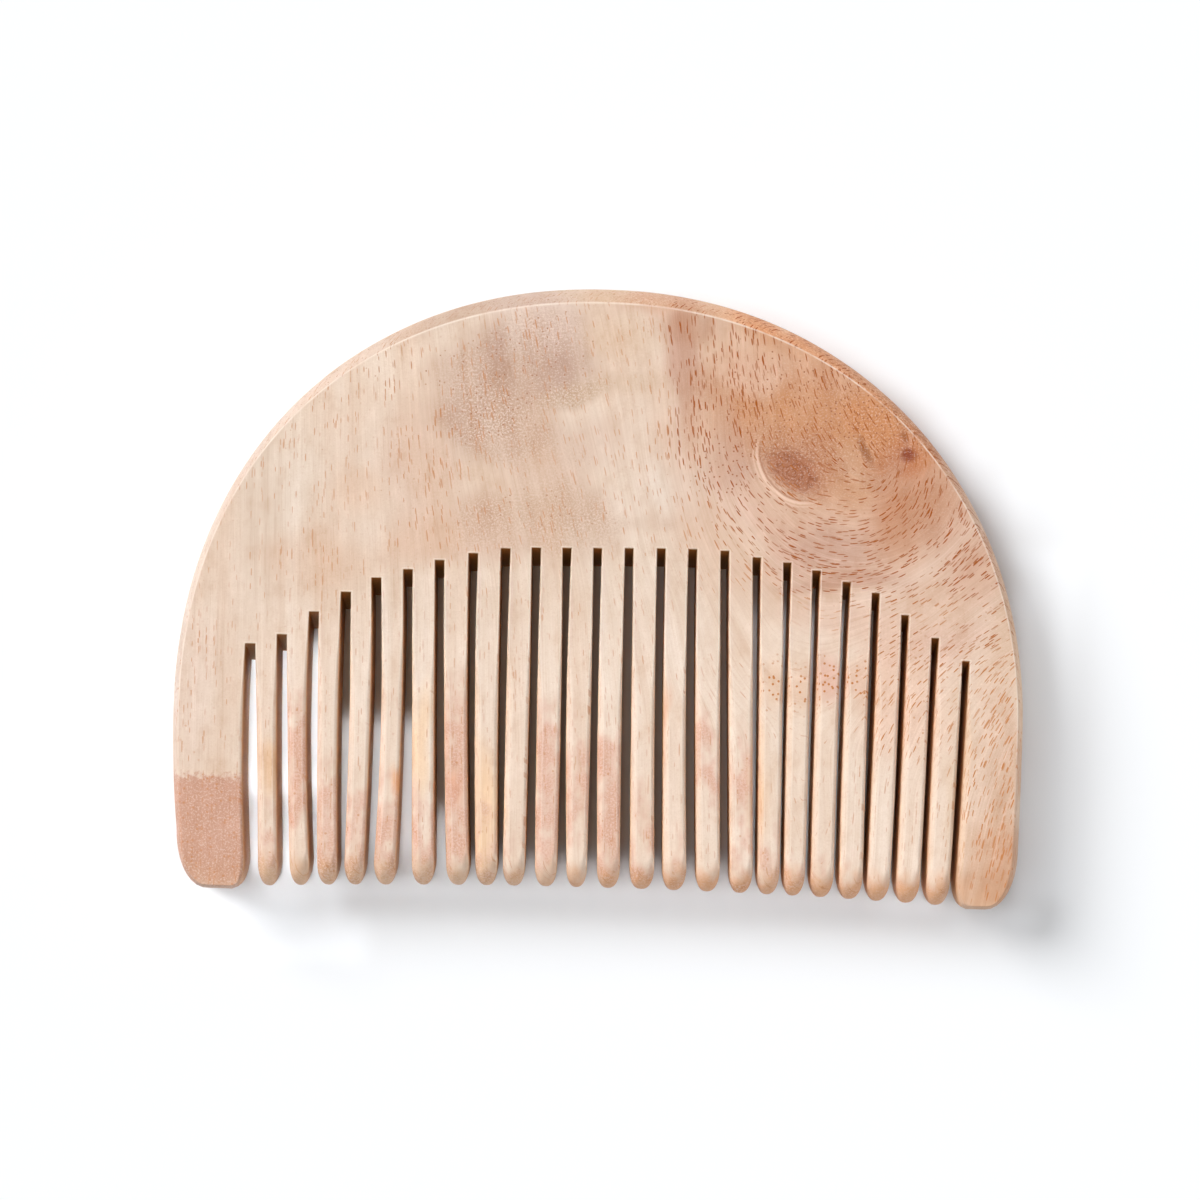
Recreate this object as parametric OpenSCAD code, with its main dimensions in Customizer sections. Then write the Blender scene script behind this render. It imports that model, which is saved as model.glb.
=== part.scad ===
/* [Board] */
// Width of the half-moon board, guard to guard
board_w = 120; // [100:1:140]
// Height from the ends of the guards to the top of the back
board_h = 86; // [76:1:96]
// Thickness of the board
board_t = 10; // [8:0.5:12]
// Height of the widest line above the ends of the guards
waist_h = 25; // [20:1:30]
// Squareness of the rounded back, where 2 is an ellipse
back_squareness = 2.12; // [2:0.01:2.4]
// How far each side leans in between the widest line and the corner
side_lean = 0.5; // [0:0.1:1.5]
// Width of the rounded outer corner of a guard
corner_w = 4.3; // [1:0.1:5]
// Height of the rounded outer corner of a guard
corner_h = 7.8; // [2:0.1:9]

/* [Rim] */
// Width of the sanded rim at the top of the back
rim_top = 2.1; // [0.5:0.1:3]
// Width of the sanded rim along the sides
rim_side = 1; // [0.4:0.1:1.6]
// Width of the sanded rim at the ends of the guards
rim_end = 0.8; // [0.4:0.1:2]
// How deep the sanding runs down the edge
rim_depth = 2.6; // [1:0.1:3.4]

/* [Teeth] */
// Width of a saw slot
kerf = 1.2; // [0.8:0.1:1.4]
// Height of the middle teeth's ends above the guards' ends
tip_rise = 1.4; // [1.1:0.1:2]
// How much lower the outermost teeth end than the middle ones
tip_sag = 1.1; // [0:0.1:1.1]
// Length of the rounded nose seen from above
nose_len = 3.4; // [2:0.1:5]
// Length of the rounded nose seen from the side
nose_side_len = 5; // [3:0.1:7]
// Width of the bevel along a tooth's edges at its end
bevel = 0.9; // [0.3:0.05:1]
// Distance from a slot's root to where the bevel starts
bevel_start = 12; // [8:1:14]

// Width of the eased inner corner of a guard
ease_w = 1.5; // [0.5:0.1:2]
// Height of the eased inner corner of a guard
ease_h = 4.2; // [1:0.1:6]

/* [Saw] */
// Radius of the saw disc that cut the slots
saw_r = 50; // [46:1:60]
// Height of the saw's axle above the middle of the board
saw_lift = 12; // [0:1:15]

/* [Hidden] */
wood = "#e6c8a8";

// The slot table is drawn for a board of this width and height.
drawn_w = 120;
drawn_h = 86;
// Columns of the slot table, measured from the middle of the drawn board.
ROOT_X = 0;
TIP_X = 1;
ROOT_Y = 2;
SLOTS = [
    [-48.8, -47.8, -8.4],
    [-44.4, -43.0, -7.0],
    [-40.0, -39.3, -3.7],
    [-35.6, -35.1, -0.8],
    [-31.4, -31.1, 1.3],
    [-27.0, -26.1, 2.6],
    [-22.6, -21.4, 4.0],
    [-17.9, -16.9, 5.1],
    [-13.4, -13.1, 5.9],
    [-9.1, -8.8, 6.1],
    [-4.8, -4.4, 6.2],
    [-0.5, -0.1, 6.3],
    [3.9, 4.6, 6.4],
    [8.4, 9.2, 6.5],
    [12.8, 13.7, 6.5],
    [17.3, 18.4, 6.4],
    [21.8, 22.7, 5.6],
    [26.1, 26.4, 5.0],
    [30.2, 30.0, 4.0],
    [34.5, 33.9, 2.5],
    [38.6, 37.9, 1.1],
    [42.8, 41.9, -1.9],
    [47.1, 46.1, -5.0],
    [51.5, 50.4, -8.1],
];
last = len(SLOTS) - 1;

end_y = -board_h / 2;
waist_y = end_y + waist_h;
half_t = board_t / 2;
spill = 1;
wall_clear = 0.05;
back_step = 3;
corner_step = 15;

// Rows of the rim: how deep below the face as a share of the rim's depth, and
// how much of the rim's width is sanded away there.
RIM = [[0, 1], [0.3, 0.45], [0.65, 0.12], [1, 0]];

function root_x(slot) = slot[ROOT_X] * board_w / drawn_w;
function root_y(slot) = slot[ROOT_Y] * board_h / drawn_h;
function tip_x(slot) = slot[TIP_X] * board_w / drawn_w;

// The teeth end on a shallow arch, highest in the middle of the comb.
function tip_y(x) = end_y + tip_rise - tip_sag * pow(2 * x / (0.8 * board_w), 2);

// Right half of the outline, from the middle of the lower edge to the top.
function right_half(in_side, in_top, in_end) =
    let (
        half_w = board_w / 2 - in_side,
        rise = board_h - waist_h - in_top,
        low_y = end_y + in_end,
        power = 2 / back_squareness
    )
    concat(
        [for (a = [90 : -corner_step : 0])
            [half_w - side_lean - corner_w * (1 - cos(a)),
             low_y + corner_h * (1 - sin(a))]],
        [for (a = [0 : back_step : 90])
            [half_w * pow(cos(a), power),
             waist_y + rise * pow(sin(a), power)]]
    );

// Closes a right half with its mirror image.
function both_halves(half) =
    concat(half, [for (i = [len(half) - 2 : -1 : 0]) [-half[i].x, half[i].y]]);

// One level of the board's outline at height z, with a share of the rim sanded off.
function level(z, share) =
    [for (p = both_halves(right_half(rim_side * share, rim_top * share, rim_end * share)))
        [p.x, p.y, z]];

// The uncut board: a half-moon slab with a sanded rim on both faces, built level
// by level from the lower face to the upper one.
module board() {
    levels = concat(
        [for (row = RIM) level(rim_depth * row[0], row[1])],
        [for (i = [len(RIM) - 1 : -1 : 0]) level(board_t - rim_depth * RIM[i][0], RIM[i][1])]
    );
    around = len(levels[0]);
    top = len(levels) - 1;
    sides = [
        for (k = [0 : top - 1], i = [0 : around - 1])
            let (j = (i + 1) % around, a = k * around, b = a + around)
            each [[a + i, b + i, b + j], [a + i, b + j, a + j]]
    ];
    lower = [for (i = [0 : around - 1]) i];
    upper = [for (i = [around - 1 : -1 : 0]) top * around + i];
    polyhedron([for (l = levels) each l], concat(sides, [lower, upper]));
}

// Puts its children at a slot's root in the middle of the board, with the slot
// running down their -Y.
module at_slot(slot) {
    drop = root_y(slot) - tip_y(tip_x(slot));
    translate([root_x(slot), root_y(slot), half_t])
        rotate([0, 0, atan2(tip_x(slot) - root_x(slot), drop)])
            children();
}

// The path of the saw disc. It meets the upper face at the slot's root, and its
// round edge leaves a slanting end wall.
module saw_cut(slot) {
    reach = sqrt(pow(saw_r, 2) - pow(saw_lift - half_t, 2));
    at_slot(slot)
        translate([0, -reach, saw_lift])
            rotate([0, 90, 0])
                cylinder(r = saw_r, h = kerf, center = true, $fn = 240);
}

// A square bar, corner down, that eases both edges of a slot on one face. It
// comes in level with the slot's walls and sinks to the bevel's full width.
module edge_bevel(slot) {
    run = root_y(slot) - tip_y(tip_x(slot)) - bevel_start;
    at_slot(slot)
        translate([0, -bevel_start, half_t + bevel])
            rotate([90 + atan2(bevel, run), 0, 0])
                cylinder(r = kerf / 2 + bevel, h = run + 2 * spill, $fn = 4);
}

// A bullet outline that points down -Y with its end at the origin.
function nose(half_w, long) =
    concat(
        [for (a = [0 : corner_step : 180])
            [-half_w * cos(a), long * (1 - sin(a))]],
        [[half_w, 2 * long], [-half_w, 2 * long]]
    );

// What is sanded off the tooth between two slots to leave a nose that is round
// from above and from the side.
module nose_cut(left, right) {
    mid = (tip_x(left) + tip_x(right)) / 2;
    half_w = (tip_x(right) - tip_x(left) - kerf) / 2 + wall_clear;
    half_h = half_t + wall_clear;
    block_w = 2 * half_w + kerf / 2;
    long = max(nose_len, nose_side_len);
    translate([mid, tip_y(mid), half_t])
        difference() {
            translate([-block_w / 2, -tip_rise - spill, -half_t - spill])
                cube([block_w, long + tip_rise + spill, board_t + 2 * spill]);
            intersection() {
                linear_extrude(board_t + 3 * spill, center = true)
                    polygon(nose(half_w, nose_len));
                rotate([0, 90, 0])
                    linear_extrude(block_w + spill, center = true)
                        polygon(nose(half_h, nose_side_len));
            }
        }
}

// What is sanded off a guard's inner corner. The side is -1 for the left guard
// and 1 for the right one.
module ease_cut(slot, side) {
    wall_x = tip_x(slot) + side * kerf / 2;
    curve = [
        for (a = [0 : corner_step : 90])
            [wall_x - side * wall_clear + side * ease_w * (1 - cos(a)),
             end_y + ease_h * (1 - sin(a)) - wall_clear]
    ];
    beyond = [
        [wall_x + side * ease_w, end_y - spill],
        [wall_x - side * kerf / 3, end_y - spill],
        [wall_x - side * kerf / 3, end_y + ease_h]
    ];
    translate([0, 0, -spill])
        linear_extrude(board_t + 2 * spill)
            polygon(concat(curve, beyond));
}

module comb() {
    color(wood)
        difference() {
            board();
            for (slot = SLOTS) {
                saw_cut(slot);
                edge_bevel(slot);
                translate([0, 0, board_t])
                    mirror([0, 0, 1])
                        edge_bevel(slot);
            }
            for (i = [0 : last - 1])
                nose_cut(SLOTS[i], SLOTS[i + 1]);
            ease_cut(SLOTS[0], -1);
            ease_cut(SLOTS[last], 1);
        }
}

comb();
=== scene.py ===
import math

import bmesh
import bpy
import numpy as np
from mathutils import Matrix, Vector


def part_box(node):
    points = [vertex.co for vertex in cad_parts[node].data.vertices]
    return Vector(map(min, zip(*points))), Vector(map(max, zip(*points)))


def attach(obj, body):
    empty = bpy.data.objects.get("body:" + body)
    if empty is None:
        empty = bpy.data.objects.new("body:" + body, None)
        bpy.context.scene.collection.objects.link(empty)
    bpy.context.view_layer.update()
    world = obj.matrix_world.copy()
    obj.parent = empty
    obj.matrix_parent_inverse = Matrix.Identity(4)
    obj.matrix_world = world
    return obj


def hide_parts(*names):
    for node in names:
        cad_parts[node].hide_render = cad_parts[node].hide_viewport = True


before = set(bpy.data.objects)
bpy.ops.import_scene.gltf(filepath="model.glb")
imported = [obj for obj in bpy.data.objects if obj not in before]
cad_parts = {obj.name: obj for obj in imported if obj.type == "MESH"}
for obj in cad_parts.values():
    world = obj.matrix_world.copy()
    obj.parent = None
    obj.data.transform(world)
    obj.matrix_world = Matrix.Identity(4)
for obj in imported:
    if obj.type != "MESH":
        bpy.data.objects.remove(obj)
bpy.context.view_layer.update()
MM = 0.001

# The comb is one board of pale hardwood, 10 mm thick. Its rounded back is band-sawn and sanded to a
# rim on both faces, a disc saw cuts the slots, and each tooth is bevelled and rounded by hand. Its
# lengths are in millimetres, X across the comb, Y towards the back and Z up.
low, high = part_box("comb")
board_w = (high.x - low.x) / MM
board_h = (high.y - low.y) / MM
board_t = (high.z - low.z) / MM
end_y = low.y / MM

# The outline has a rounded outer corner on each guard, sides that lean in a little and a back that is
# squarer than an ellipse. It was sawn by eye, so its left half differs a little from its right one.
WAIST_H = 25.0
CORNER_W = 4.4
CORNER_H = 8.2
SLIM_LEFT = 0.4
SLIM_TOP = 0.25
LEAN_LEFT = 0.9
LEAN_RIGHT = 0.2
SQUARENESS_LEFT = 2.15
SQUARENESS_RIGHT = 2.09
CORNER_POINTS = 60
LEAN_POINTS = 200
ARCH_POINTS = 600
EDGE_POINTS = 3001


def half_outline(slim, lean, squareness):
    """One half of the outline, drawn on the right, from the guard's end to the top of the back."""
    waist_y = end_y + WAIST_H
    corner_y = end_y + CORNER_H
    half = board_w / 2 - slim
    rise = board_h - SLIM_TOP - WAIST_H
    turn = np.radians(np.linspace(0, 90, CORNER_POINTS))
    corner_x = half - lean - CORNER_W * (1 - np.sin(turn))
    corner = np.stack([corner_x, corner_y - CORNER_H * np.cos(turn)], 1)
    side_y = np.linspace(corner_y, waist_y, LEAN_POINTS)
    sag = ((waist_y - side_y) / (waist_y - corner_y)) ** 2
    side = np.stack([half - lean * sag, side_y], 1)
    arc = np.radians(np.linspace(0, 90, ARCH_POINTS))
    power = 2 / squareness
    back = np.stack([half * np.cos(arc) ** power, waist_y + rise * np.sin(arc) ** power], 1)
    return np.concatenate([corner, side[1:], back[1:]])


def lengths_along(line):
    """How far along a line of points each point is."""
    return np.concatenate([[0], np.cumsum(np.hypot(*np.diff(line, axis=0).T))])


def point_at(way, line_way, line):
    """Points of a line at given distances along it."""
    return np.stack([np.interp(way, line_way, line[:, k]) for k in (0, 1)], 1)


half_left = half_outline(SLIM_LEFT, LEAN_LEFT, SQUARENESS_LEFT) * [-1, 1]
half_right = half_outline(0, LEAN_RIGHT, SQUARENESS_RIGHT)
drawn = np.concatenate([half_left, half_right[-2::-1]])
drawn_way = lengths_along(drawn)
edge_way = np.linspace(0, drawn_way[-1], EDGE_POINTS)
edge_points = point_at(edge_way, drawn_way, drawn)
edge_slope = np.gradient(edge_points, edge_way, axis=0)
edge_inward = np.stack([edge_slope[:, 1], -edge_slope[:, 0]], 1)
edge_inward /= np.hypot(edge_inward[:, 0], edge_inward[:, 1])[:, None]


def edge_way_at(y, right):
    """How far along the outer edge its left or right side reaches a height."""
    half = len(edge_way) // 2
    if right:
        return np.interp(y, edge_points[:half:-1, 1], edge_way[:half:-1])
    return np.interp(y, edge_points[:half, 1], edge_way[:half])


# The sanded rim is widest at the top of the back and narrow along the sides. It starts from a crisp
# line on the face and rounds over to the upright edge.
RIM_TOP = 2.1
RIM_SIDE = 1.0
RIM_END = 0.7
RIM_DEPTH = 2.6
RIM_SOFTNESS = 1.5
RIM_NARROWS = 3.0


def outer_edge(way):
    """Points on the outer edge, and the way from each over the rim to the flat face."""
    spot = point_at(way, edge_way, edge_points)
    inward = point_at(way, edge_way, edge_inward)
    up = np.clip(-inward[:, 1], 0, 1)
    down = np.clip(inward[:, 1], 0, 1)
    width = RIM_SIDE + (RIM_TOP - RIM_SIDE) * up ** RIM_NARROWS + (RIM_END - RIM_SIDE) * down
    return spot, inward * width[:, None]


# The 24 saw slots: [x, y] of the middle of each one's root, where ROOT_Y is the height's place in the
# row. The saw left them a little wider on the left, and the disc's arc slants their end walls.
ROOT_Y = 1
SLOTS = [
    [-48.8, -8.4],
    [-44.4, -7.0],
    [-40.0, -3.7],
    [-35.6, -0.8],
    [-31.4, 1.3],
    [-27.0, 2.6],
    [-22.6, 4.0],
    [-17.9, 5.1],
    [-13.4, 5.9],
    [-9.1, 6.1],
    [-4.8, 6.2],
    [-0.5, 6.3],
    [3.9, 6.4],
    [8.4, 6.5],
    [12.8, 6.5],
    [17.3, 6.4],
    [21.8, 5.6],
    [26.1, 5.0],
    [30.2, 4.0],
    [34.5, 2.5],
    [38.6, 1.1],
    [42.8, -1.9],
    [47.1, -5.0],
    [51.5, -8.1],
]
KERF_LEFT = 1.4
KERF_RIGHT = 1.0
SAW_R = 50.0
SAW_LIFT = 12.0
SAW_EASE = 0.14

# The 23 teeth and two guards are called fingers here, numbered from the left: [left wall, right wall]
# of each at MID_Y, then the same at LOW_Y. A guard's outer side is part of the outline instead.
MID_Y = -26.0
LOW_Y = -37.0
WALLS = [
    [None, -49.5, None, -49.0],
    [-47.4, -44.7, -47.0, -44.3],
    [-43.1, -40.5, -42.6, -39.9],
    [-39.0, -36.2, -38.7, -35.9],
    [-34.7, -31.8, -34.8, -32.0],
    [-30.3, -27.4, -30.6, -27.6],
    [-25.7, -22.6, -25.4, -22.3],
    [-21.1, -17.9, -20.6, -17.4],
    [-16.9, -13.7, -16.5, -13.4],
    [-12.7, -9.5, -12.6, -9.5],
    [-8.3, -5.0, -8.1, -5.0],
    [-4.1, -0.8, -3.7, -0.8],
    [0.3, 3.6, 0.6, 3.8],
    [5.0, 8.3, 5.2, 8.6],
    [9.5, 12.7, 9.8, 13.1],
    [14.1, 17.5, 14.5, 17.8],
    [18.8, 22.1, 19.2, 22.4],
    [22.9, 26.1, 23.1, 26.2],
    [26.7, 29.8, 26.8, 29.8],
    [30.6, 33.8, 30.6, 33.8],
    [34.6, 37.9, 34.6, 37.9],
    [38.8, 42.1, 38.6, 41.8],
    [42.9, 46.3, 42.7, 46.0],
    [47.1, 50.6, 46.9, 50.2],
    [51.5, None, 51.1, None],
]
fingers = len(SLOTS) + 1


def half_kerf(slot):
    """Half the width of a slot at its root."""
    return (KERF_LEFT + (KERF_RIGHT - KERF_LEFT) * slot / (len(SLOTS) - 1)) / 2


def wall_x(finger, right, y):
    """Where a finger's left or right wall is at a height: a gentle curve through three places."""
    slot = finger if right else finger - 1
    root_x, root_y = SLOTS[slot]
    root = root_x + (-half_kerf(slot) if right else half_kerf(slot))
    mid, deep = WALLS[finger][1::2] if right else WALLS[finger][::2]
    return (
        root * (y - MID_Y) * (y - LOW_Y) / ((root_y - MID_Y) * (root_y - LOW_Y))
        + mid * (y - root_y) * (y - LOW_Y) / ((MID_Y - root_y) * (MID_Y - LOW_Y))
        + deep * (y - root_y) * (y - MID_Y) / ((LOW_Y - root_y) * (LOW_Y - MID_Y))
    )


def smooth(begin, stop, value):
    """Goes from 0 to 1 between two ends, level at both."""
    share = np.clip((value - begin) / (stop - begin), 0, 1)
    return share * share * (3 - 2 * share)


# A side is a run of points on the comb's edge, and says how the edge is rounded there. Its rows are
# closer together at a slot's root.
ROOT_ROWS = 8
ROOT_STEP = 0.5
LONG_ROWS = 36
NOSE_ROWS = 8
NOSE_TURN = math.radians(66)
finger_rows = ROOT_ROWS + LONG_ROWS + NOSE_ROWS


class Side:
    """Points, the way in to the flat face, the rounding's depth and softness, and what the wood shows."""

    def __init__(self, rail, inset, depth, softness, crisp, rim=0.0, cut=0.0):
        count = len(rail)
        self.rail = np.asarray(rail, float)
        self.inset = np.asarray(inset, float)
        self.depth = np.broadcast_to(depth, count).astype(float)
        self.softness = np.broadcast_to(softness, count).astype(float)
        self.crisp = np.broadcast_to(crisp, count).astype(float)
        self.rim = np.broadcast_to(rim, count).astype(float)
        self.cut = np.broadcast_to(cut, count).astype(float)


def rows_down(top, bottom):
    """Heights from a slot's root to the start of the end's rounding."""
    near_root = np.linspace(top, top - ROOT_STEP * ROOT_ROWS, ROOT_ROWS + 1)
    rest = np.linspace(near_root[-1], bottom, LONG_ROWS + 1)[1:]
    return np.concatenate([near_root, rest])


# Each slot's edges are only eased by the saw near the root. Lower down they are bevelled by hand,
# which leaves a crisp line where the bevel is narrow. A painted highlight runs along that line, and
# stays on as a faint painted line where the bevel is wide.
BEVEL_LEFT = 0.85
BEVEL_RIGHT = 0.5
BEVEL_STARTS = -5.0
BEVEL_RUN = 12.0
BEVEL_SOFTNESS = 1.4
CRISP_WIDTHS = (0.4, 0.15)
FAINT_HIGHLIGHT = 0.49


def side_bevel(slot, full, y):
    """Width of the bevel beside a slot at a height."""
    start = min(BEVEL_STARTS, SLOTS[slot][ROOT_Y] - 1)
    return SAW_EASE + (full - SAW_EASE) * smooth(start, start - BEVEL_RUN, y)


# The end of a tooth is a blunt nose, round from above and from the side. The teeth end on a shallow
# arch, highest in the middle.
TIP_RISE = 1.4
TIP_SAG = 1.1
TIP_SPAN = 0.8
NOSE_LEN = 3.5
NOSE_TOP_LEN = 4.2
NOSE_BLUNTNESS = 2.35
NOSE_SKEW = 2.2
NOSE_SKEW_RUN = 9.0
NOSE_DEPTH = 0.97
NOSE_DEPTH_CURVE = 1.3
NOSE_SOFTNESS = 1.0
TOOTH_COLUMNS = 4


def tip_y(x):
    """Where a tooth at x ends."""
    return end_y + TIP_RISE - TIP_SAG * (2 * x / (TIP_SPAN * board_w)) ** 2


def nose_y(finger):
    """Where the rounded end of a tooth starts."""
    return tip_y((WALLS[finger][2] + WALLS[finger][3]) / 2) + NOSE_LEN


def tooth_side(finger, right):
    """One long side of a tooth, from the root down to the last row before its rounded end."""
    slot = finger if right else finger - 1
    heights = rows_down(SLOTS[slot][ROOT_Y], nose_y(finger))
    rail = np.stack([wall_x(finger, right, heights), heights], 1)
    width = side_bevel(slot, BEVEL_RIGHT if right else BEVEL_LEFT, heights)
    skew = NOSE_SKEW * smooth(heights[-1] + NOSE_SKEW_RUN, heights[-1], heights)
    inset = np.stack([-width if right else width, skew], 1)
    inset[0, 1] = SAW_EASE
    return rail, inset, width


def nose(finger, turns):
    """The rounded end of a tooth at angles from 0 at its left side over 90 degrees at its tip to 180."""
    start_y = nose_y(finger)
    left = wall_x(finger, False, start_y)
    right = wall_x(finger, True, start_y)
    power = 2 / NOSE_BLUNTNESS
    across = np.sign(np.cos(turns)) * np.abs(np.cos(turns)) ** power
    down = np.sin(turns) ** power
    rail_x = (left + right) / 2 - (right - left) / 2 * across
    rail = np.stack([rail_x, start_y - NOSE_LEN * down], 1)
    flat_left = left + BEVEL_LEFT
    flat_right = right - BEVEL_RIGHT
    flat_y = start_y + NOSE_SKEW
    flat_len = flat_y - (start_y - NOSE_LEN + NOSE_TOP_LEN)
    flat_x = (flat_left + flat_right) / 2 - (flat_right - flat_left) / 2 * across
    flat = np.stack([flat_x, flat_y - flat_len * down], 1)
    reach = np.sin(turns)
    bevel = np.where(np.cos(turns) > 0, BEVEL_LEFT, BEVEL_RIGHT)
    bevel = bevel + ((BEVEL_LEFT + BEVEL_RIGHT) / 2 - bevel) * reach
    depth = bevel + (NOSE_DEPTH * board_t / 2 - bevel) * reach ** NOSE_DEPTH_CURVE
    softness = BEVEL_SOFTNESS + (NOSE_SOFTNESS - BEVEL_SOFTNESS) * smooth(0, 1, reach)
    return Side(rail, flat - rail, depth, softness, 0.0, cut=1.0)


def tooth(finger):
    """A tooth's left side, end and right side."""
    nose_turns = np.linspace(0, NOSE_TURN, NOSE_ROWS + 1)[1:]
    sides = []
    for right in (False, True):
        rail, inset, width = tooth_side(finger, right)
        end = nose(finger, math.pi - nose_turns if right else nose_turns)
        sides.append(Side(
            np.concatenate([rail, end.rail]),
            np.concatenate([inset, end.inset]),
            np.concatenate([width, end.depth]),
            np.concatenate([np.full(len(rail), BEVEL_SOFTNESS), end.softness]),
            np.concatenate([np.maximum(smooth(*CRISP_WIDTHS, width), FAINT_HIGHLIGHT), end.crisp]),
            cut=1.0,
        ))
    end = nose(finger, np.linspace(NOSE_TURN, math.pi - NOSE_TURN, TOOTH_COLUMNS + 1))
    return sides[0], end, sides[1]


# A guard is the broad end finger. Its outer side is a stretch of the comb's outer edge, and its inner
# corner is eased by hand. GUARD_BEVELS has the left guard's inner bevel and the right one's, and
# CORNER_SPLIT is the share of the outer corner that counts as the guard's end.
GUARD_COLUMNS = 8
GUARD_BEVELS = (0.35, 0.9)
GUARD_LINE_FADES = (-32.0, -12.0)
GUARD_RIM = 0.3
CORNER_SPLIT = 0.35
EASE_W = 1.5
EASE_H = 4.2
EASE_FLAT_W = 0.9
EASE_SKEW = 0.8
EASE_SKEW_RUN = 8.0
OUTER_CORNER_POINTS = 40
INNER_CORNER_POINTS = 20


def guard_outside(is_right, root_y):
    """A guard's outer side from the root line to its end, and the part of its end up to the corner."""
    total = edge_way[-1]
    corner_way = math.pi * (CORNER_W + CORNER_H) / 4
    end_way = CORNER_SPLIT * corner_way
    top_way = total - edge_way_at(root_y, True) if is_right else edge_way_at(root_y, False)
    heights = rows_down(root_y, end_y + CORNER_H)
    share = (heights - heights[-1]) / (heights[0] - heights[-1])
    straight = corner_way + share * (top_way - corner_way)
    rounded = np.linspace(corner_way, end_way, NOSE_ROWS + 1)[1:]
    way = np.concatenate([straight, rounded])
    corner = np.linspace(0, end_way, OUTER_CORNER_POINTS)
    if is_right:
        way = total - way
        corner = total - corner
    rail, inset = outer_edge(way)
    sharp = smooth(*GUARD_LINE_FADES, rail[:, 1])
    side = Side(rail, inset, RIM_DEPTH, RIM_SOFTNESS, sharp, rim=GUARD_RIM + (1 - GUARD_RIM) * sharp)
    return side, outer_edge(corner)


def guard_inside(finger, is_right, slot):
    """A guard's inner side down to its eased corner, and the rest of that corner's curve."""
    sign = 1 if is_right else -1
    bevel = GUARD_BEVELS[is_right]
    wall_y = rows_down(SLOTS[slot][ROOT_Y], end_y + EASE_H)
    inner_x = wall_x(finger, not is_right, wall_y)
    width = side_bevel(slot, bevel, wall_y)
    skew = EASE_SKEW * smooth(wall_y[-1] + EASE_SKEW_RUN, wall_y[-1], wall_y)
    wall_inset = np.stack([sign * width, skew], 1)
    wall_inset[0, 1] = SAW_EASE

    def eased(turns):
        """The corner at angles from the wall, and the way in to the flat face's own corner."""
        side_way = 1 - np.cos(turns)
        end_part = 1 - np.sin(turns)
        rail = np.stack([inner_x[-1] + sign * EASE_W * side_way, end_y + EASE_H * end_part], 1)
        flat_x = inner_x[-1] + sign * (bevel + EASE_FLAT_W * side_way)
        flat_y = end_y + RIM_END + (EASE_H + EASE_SKEW - RIM_END) * end_part
        return rail, np.stack([flat_x, flat_y], 1) - rail

    turns = np.linspace(0, NOSE_TURN, NOSE_ROWS + 1)[1:]
    rail, inset = eased(turns)
    deeper = smooth(0, math.pi / 2, turns)
    side = Side(
        np.concatenate([np.stack([inner_x, wall_y], 1), rail]),
        np.concatenate([wall_inset, inset]),
        np.concatenate([width, bevel + (RIM_DEPTH - bevel) * deeper]),
        RIM_SOFTNESS,
        np.concatenate([smooth(*CRISP_WIDTHS, width), np.zeros(len(turns))]),
        cut=1.0,
    )
    return side, eased(np.linspace(NOSE_TURN, math.pi / 2, INNER_CORNER_POINTS))


def guard(finger):
    """A guard's left side, end and right side."""
    is_right = finger > 0
    slot = finger - 1 if is_right else 0
    outer, outer_corner = guard_outside(is_right, SLOTS[slot][ROOT_Y])
    inner, inner_corner = guard_inside(finger, is_right, slot)
    end_rail = np.concatenate([inner_corner[0], outer_corner[0]])
    end_inset = np.concatenate([inner_corner[1], outer_corner[1]])
    way = lengths_along(end_rail)
    even = np.linspace(0, way[-1], GUARD_COLUMNS + 1)
    if not is_right:
        even = even[::-1]
    rail = point_at(even, way, end_rail)
    end = Side(rail, point_at(even, way, end_inset), RIM_DEPTH, RIM_SOFTNESS, 0.0, rim=GUARD_RIM)
    return (inner, end, outer) if is_right else (outer, end, inner)


# The plan is the comb seen from above. Its flat face is a sheet of even columns that ends just inside
# the crisp line, and the root line runs across it through the roots of the slots. Over the last rows
# of a finger the columns bend to the shape of its end.
EDGE_LINE = 0.18
SLOT_COLUMNS = 2
BACK_ROWS = 60
TIP_ROWS = 7


def flat_edge(side):
    """Where the flat face's grid ends: just inside the line that the bevel starts from."""
    long = np.hypot(side.inset[:, 0], side.inset[:, 1])[:, None]
    return side.rail + side.inset * (1 + EDGE_LINE / long)


parts = [guard(0)] + [tooth(i) for i in range(1, fingers - 1)] + [guard(fingers - 1)]
columns = [GUARD_COLUMNS] + [TOOTH_COLUMNS] * (fingers - 2) + [GUARD_COLUMNS]
first_column = np.concatenate([[0], np.cumsum(np.array(columns) + SLOT_COLUMNS)[:-1]])
column_count = first_column[-1] + columns[-1] + 1
last_column = column_count - 1

root_line = np.zeros((column_count, 2))
for i, (left, end, right) in enumerate(parts):
    begin = first_column[i]
    share = np.linspace(0, 1, columns[i] + 1)[:, None]
    across_finger = flat_edge(left)[0] * (1 - share) + flat_edge(right)[0] * share
    root_line[begin:begin + columns[i] + 1] = across_finger
slot_ends = []
for i in range(fingers - 1):
    left_wall = parts[i][2]
    right_wall = parts[i + 1][0]
    share = np.linspace(0, 1, SLOT_COLUMNS + 1)[1:-1, None]
    end_rail = left_wall.rail[0] * (1 - share) + right_wall.rail[0] * share
    end_inset = np.tile([0, SAW_EASE], (len(end_rail), 1))
    slot_ends.append(Side(end_rail, end_inset, SAW_EASE, BEVEL_SOFTNESS, 1.0, cut=1.0))
    begin = first_column[i] + columns[i] + 1
    root_line[begin:begin + SLOT_COLUMNS - 1] = flat_edge(slot_ends[i])

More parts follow.
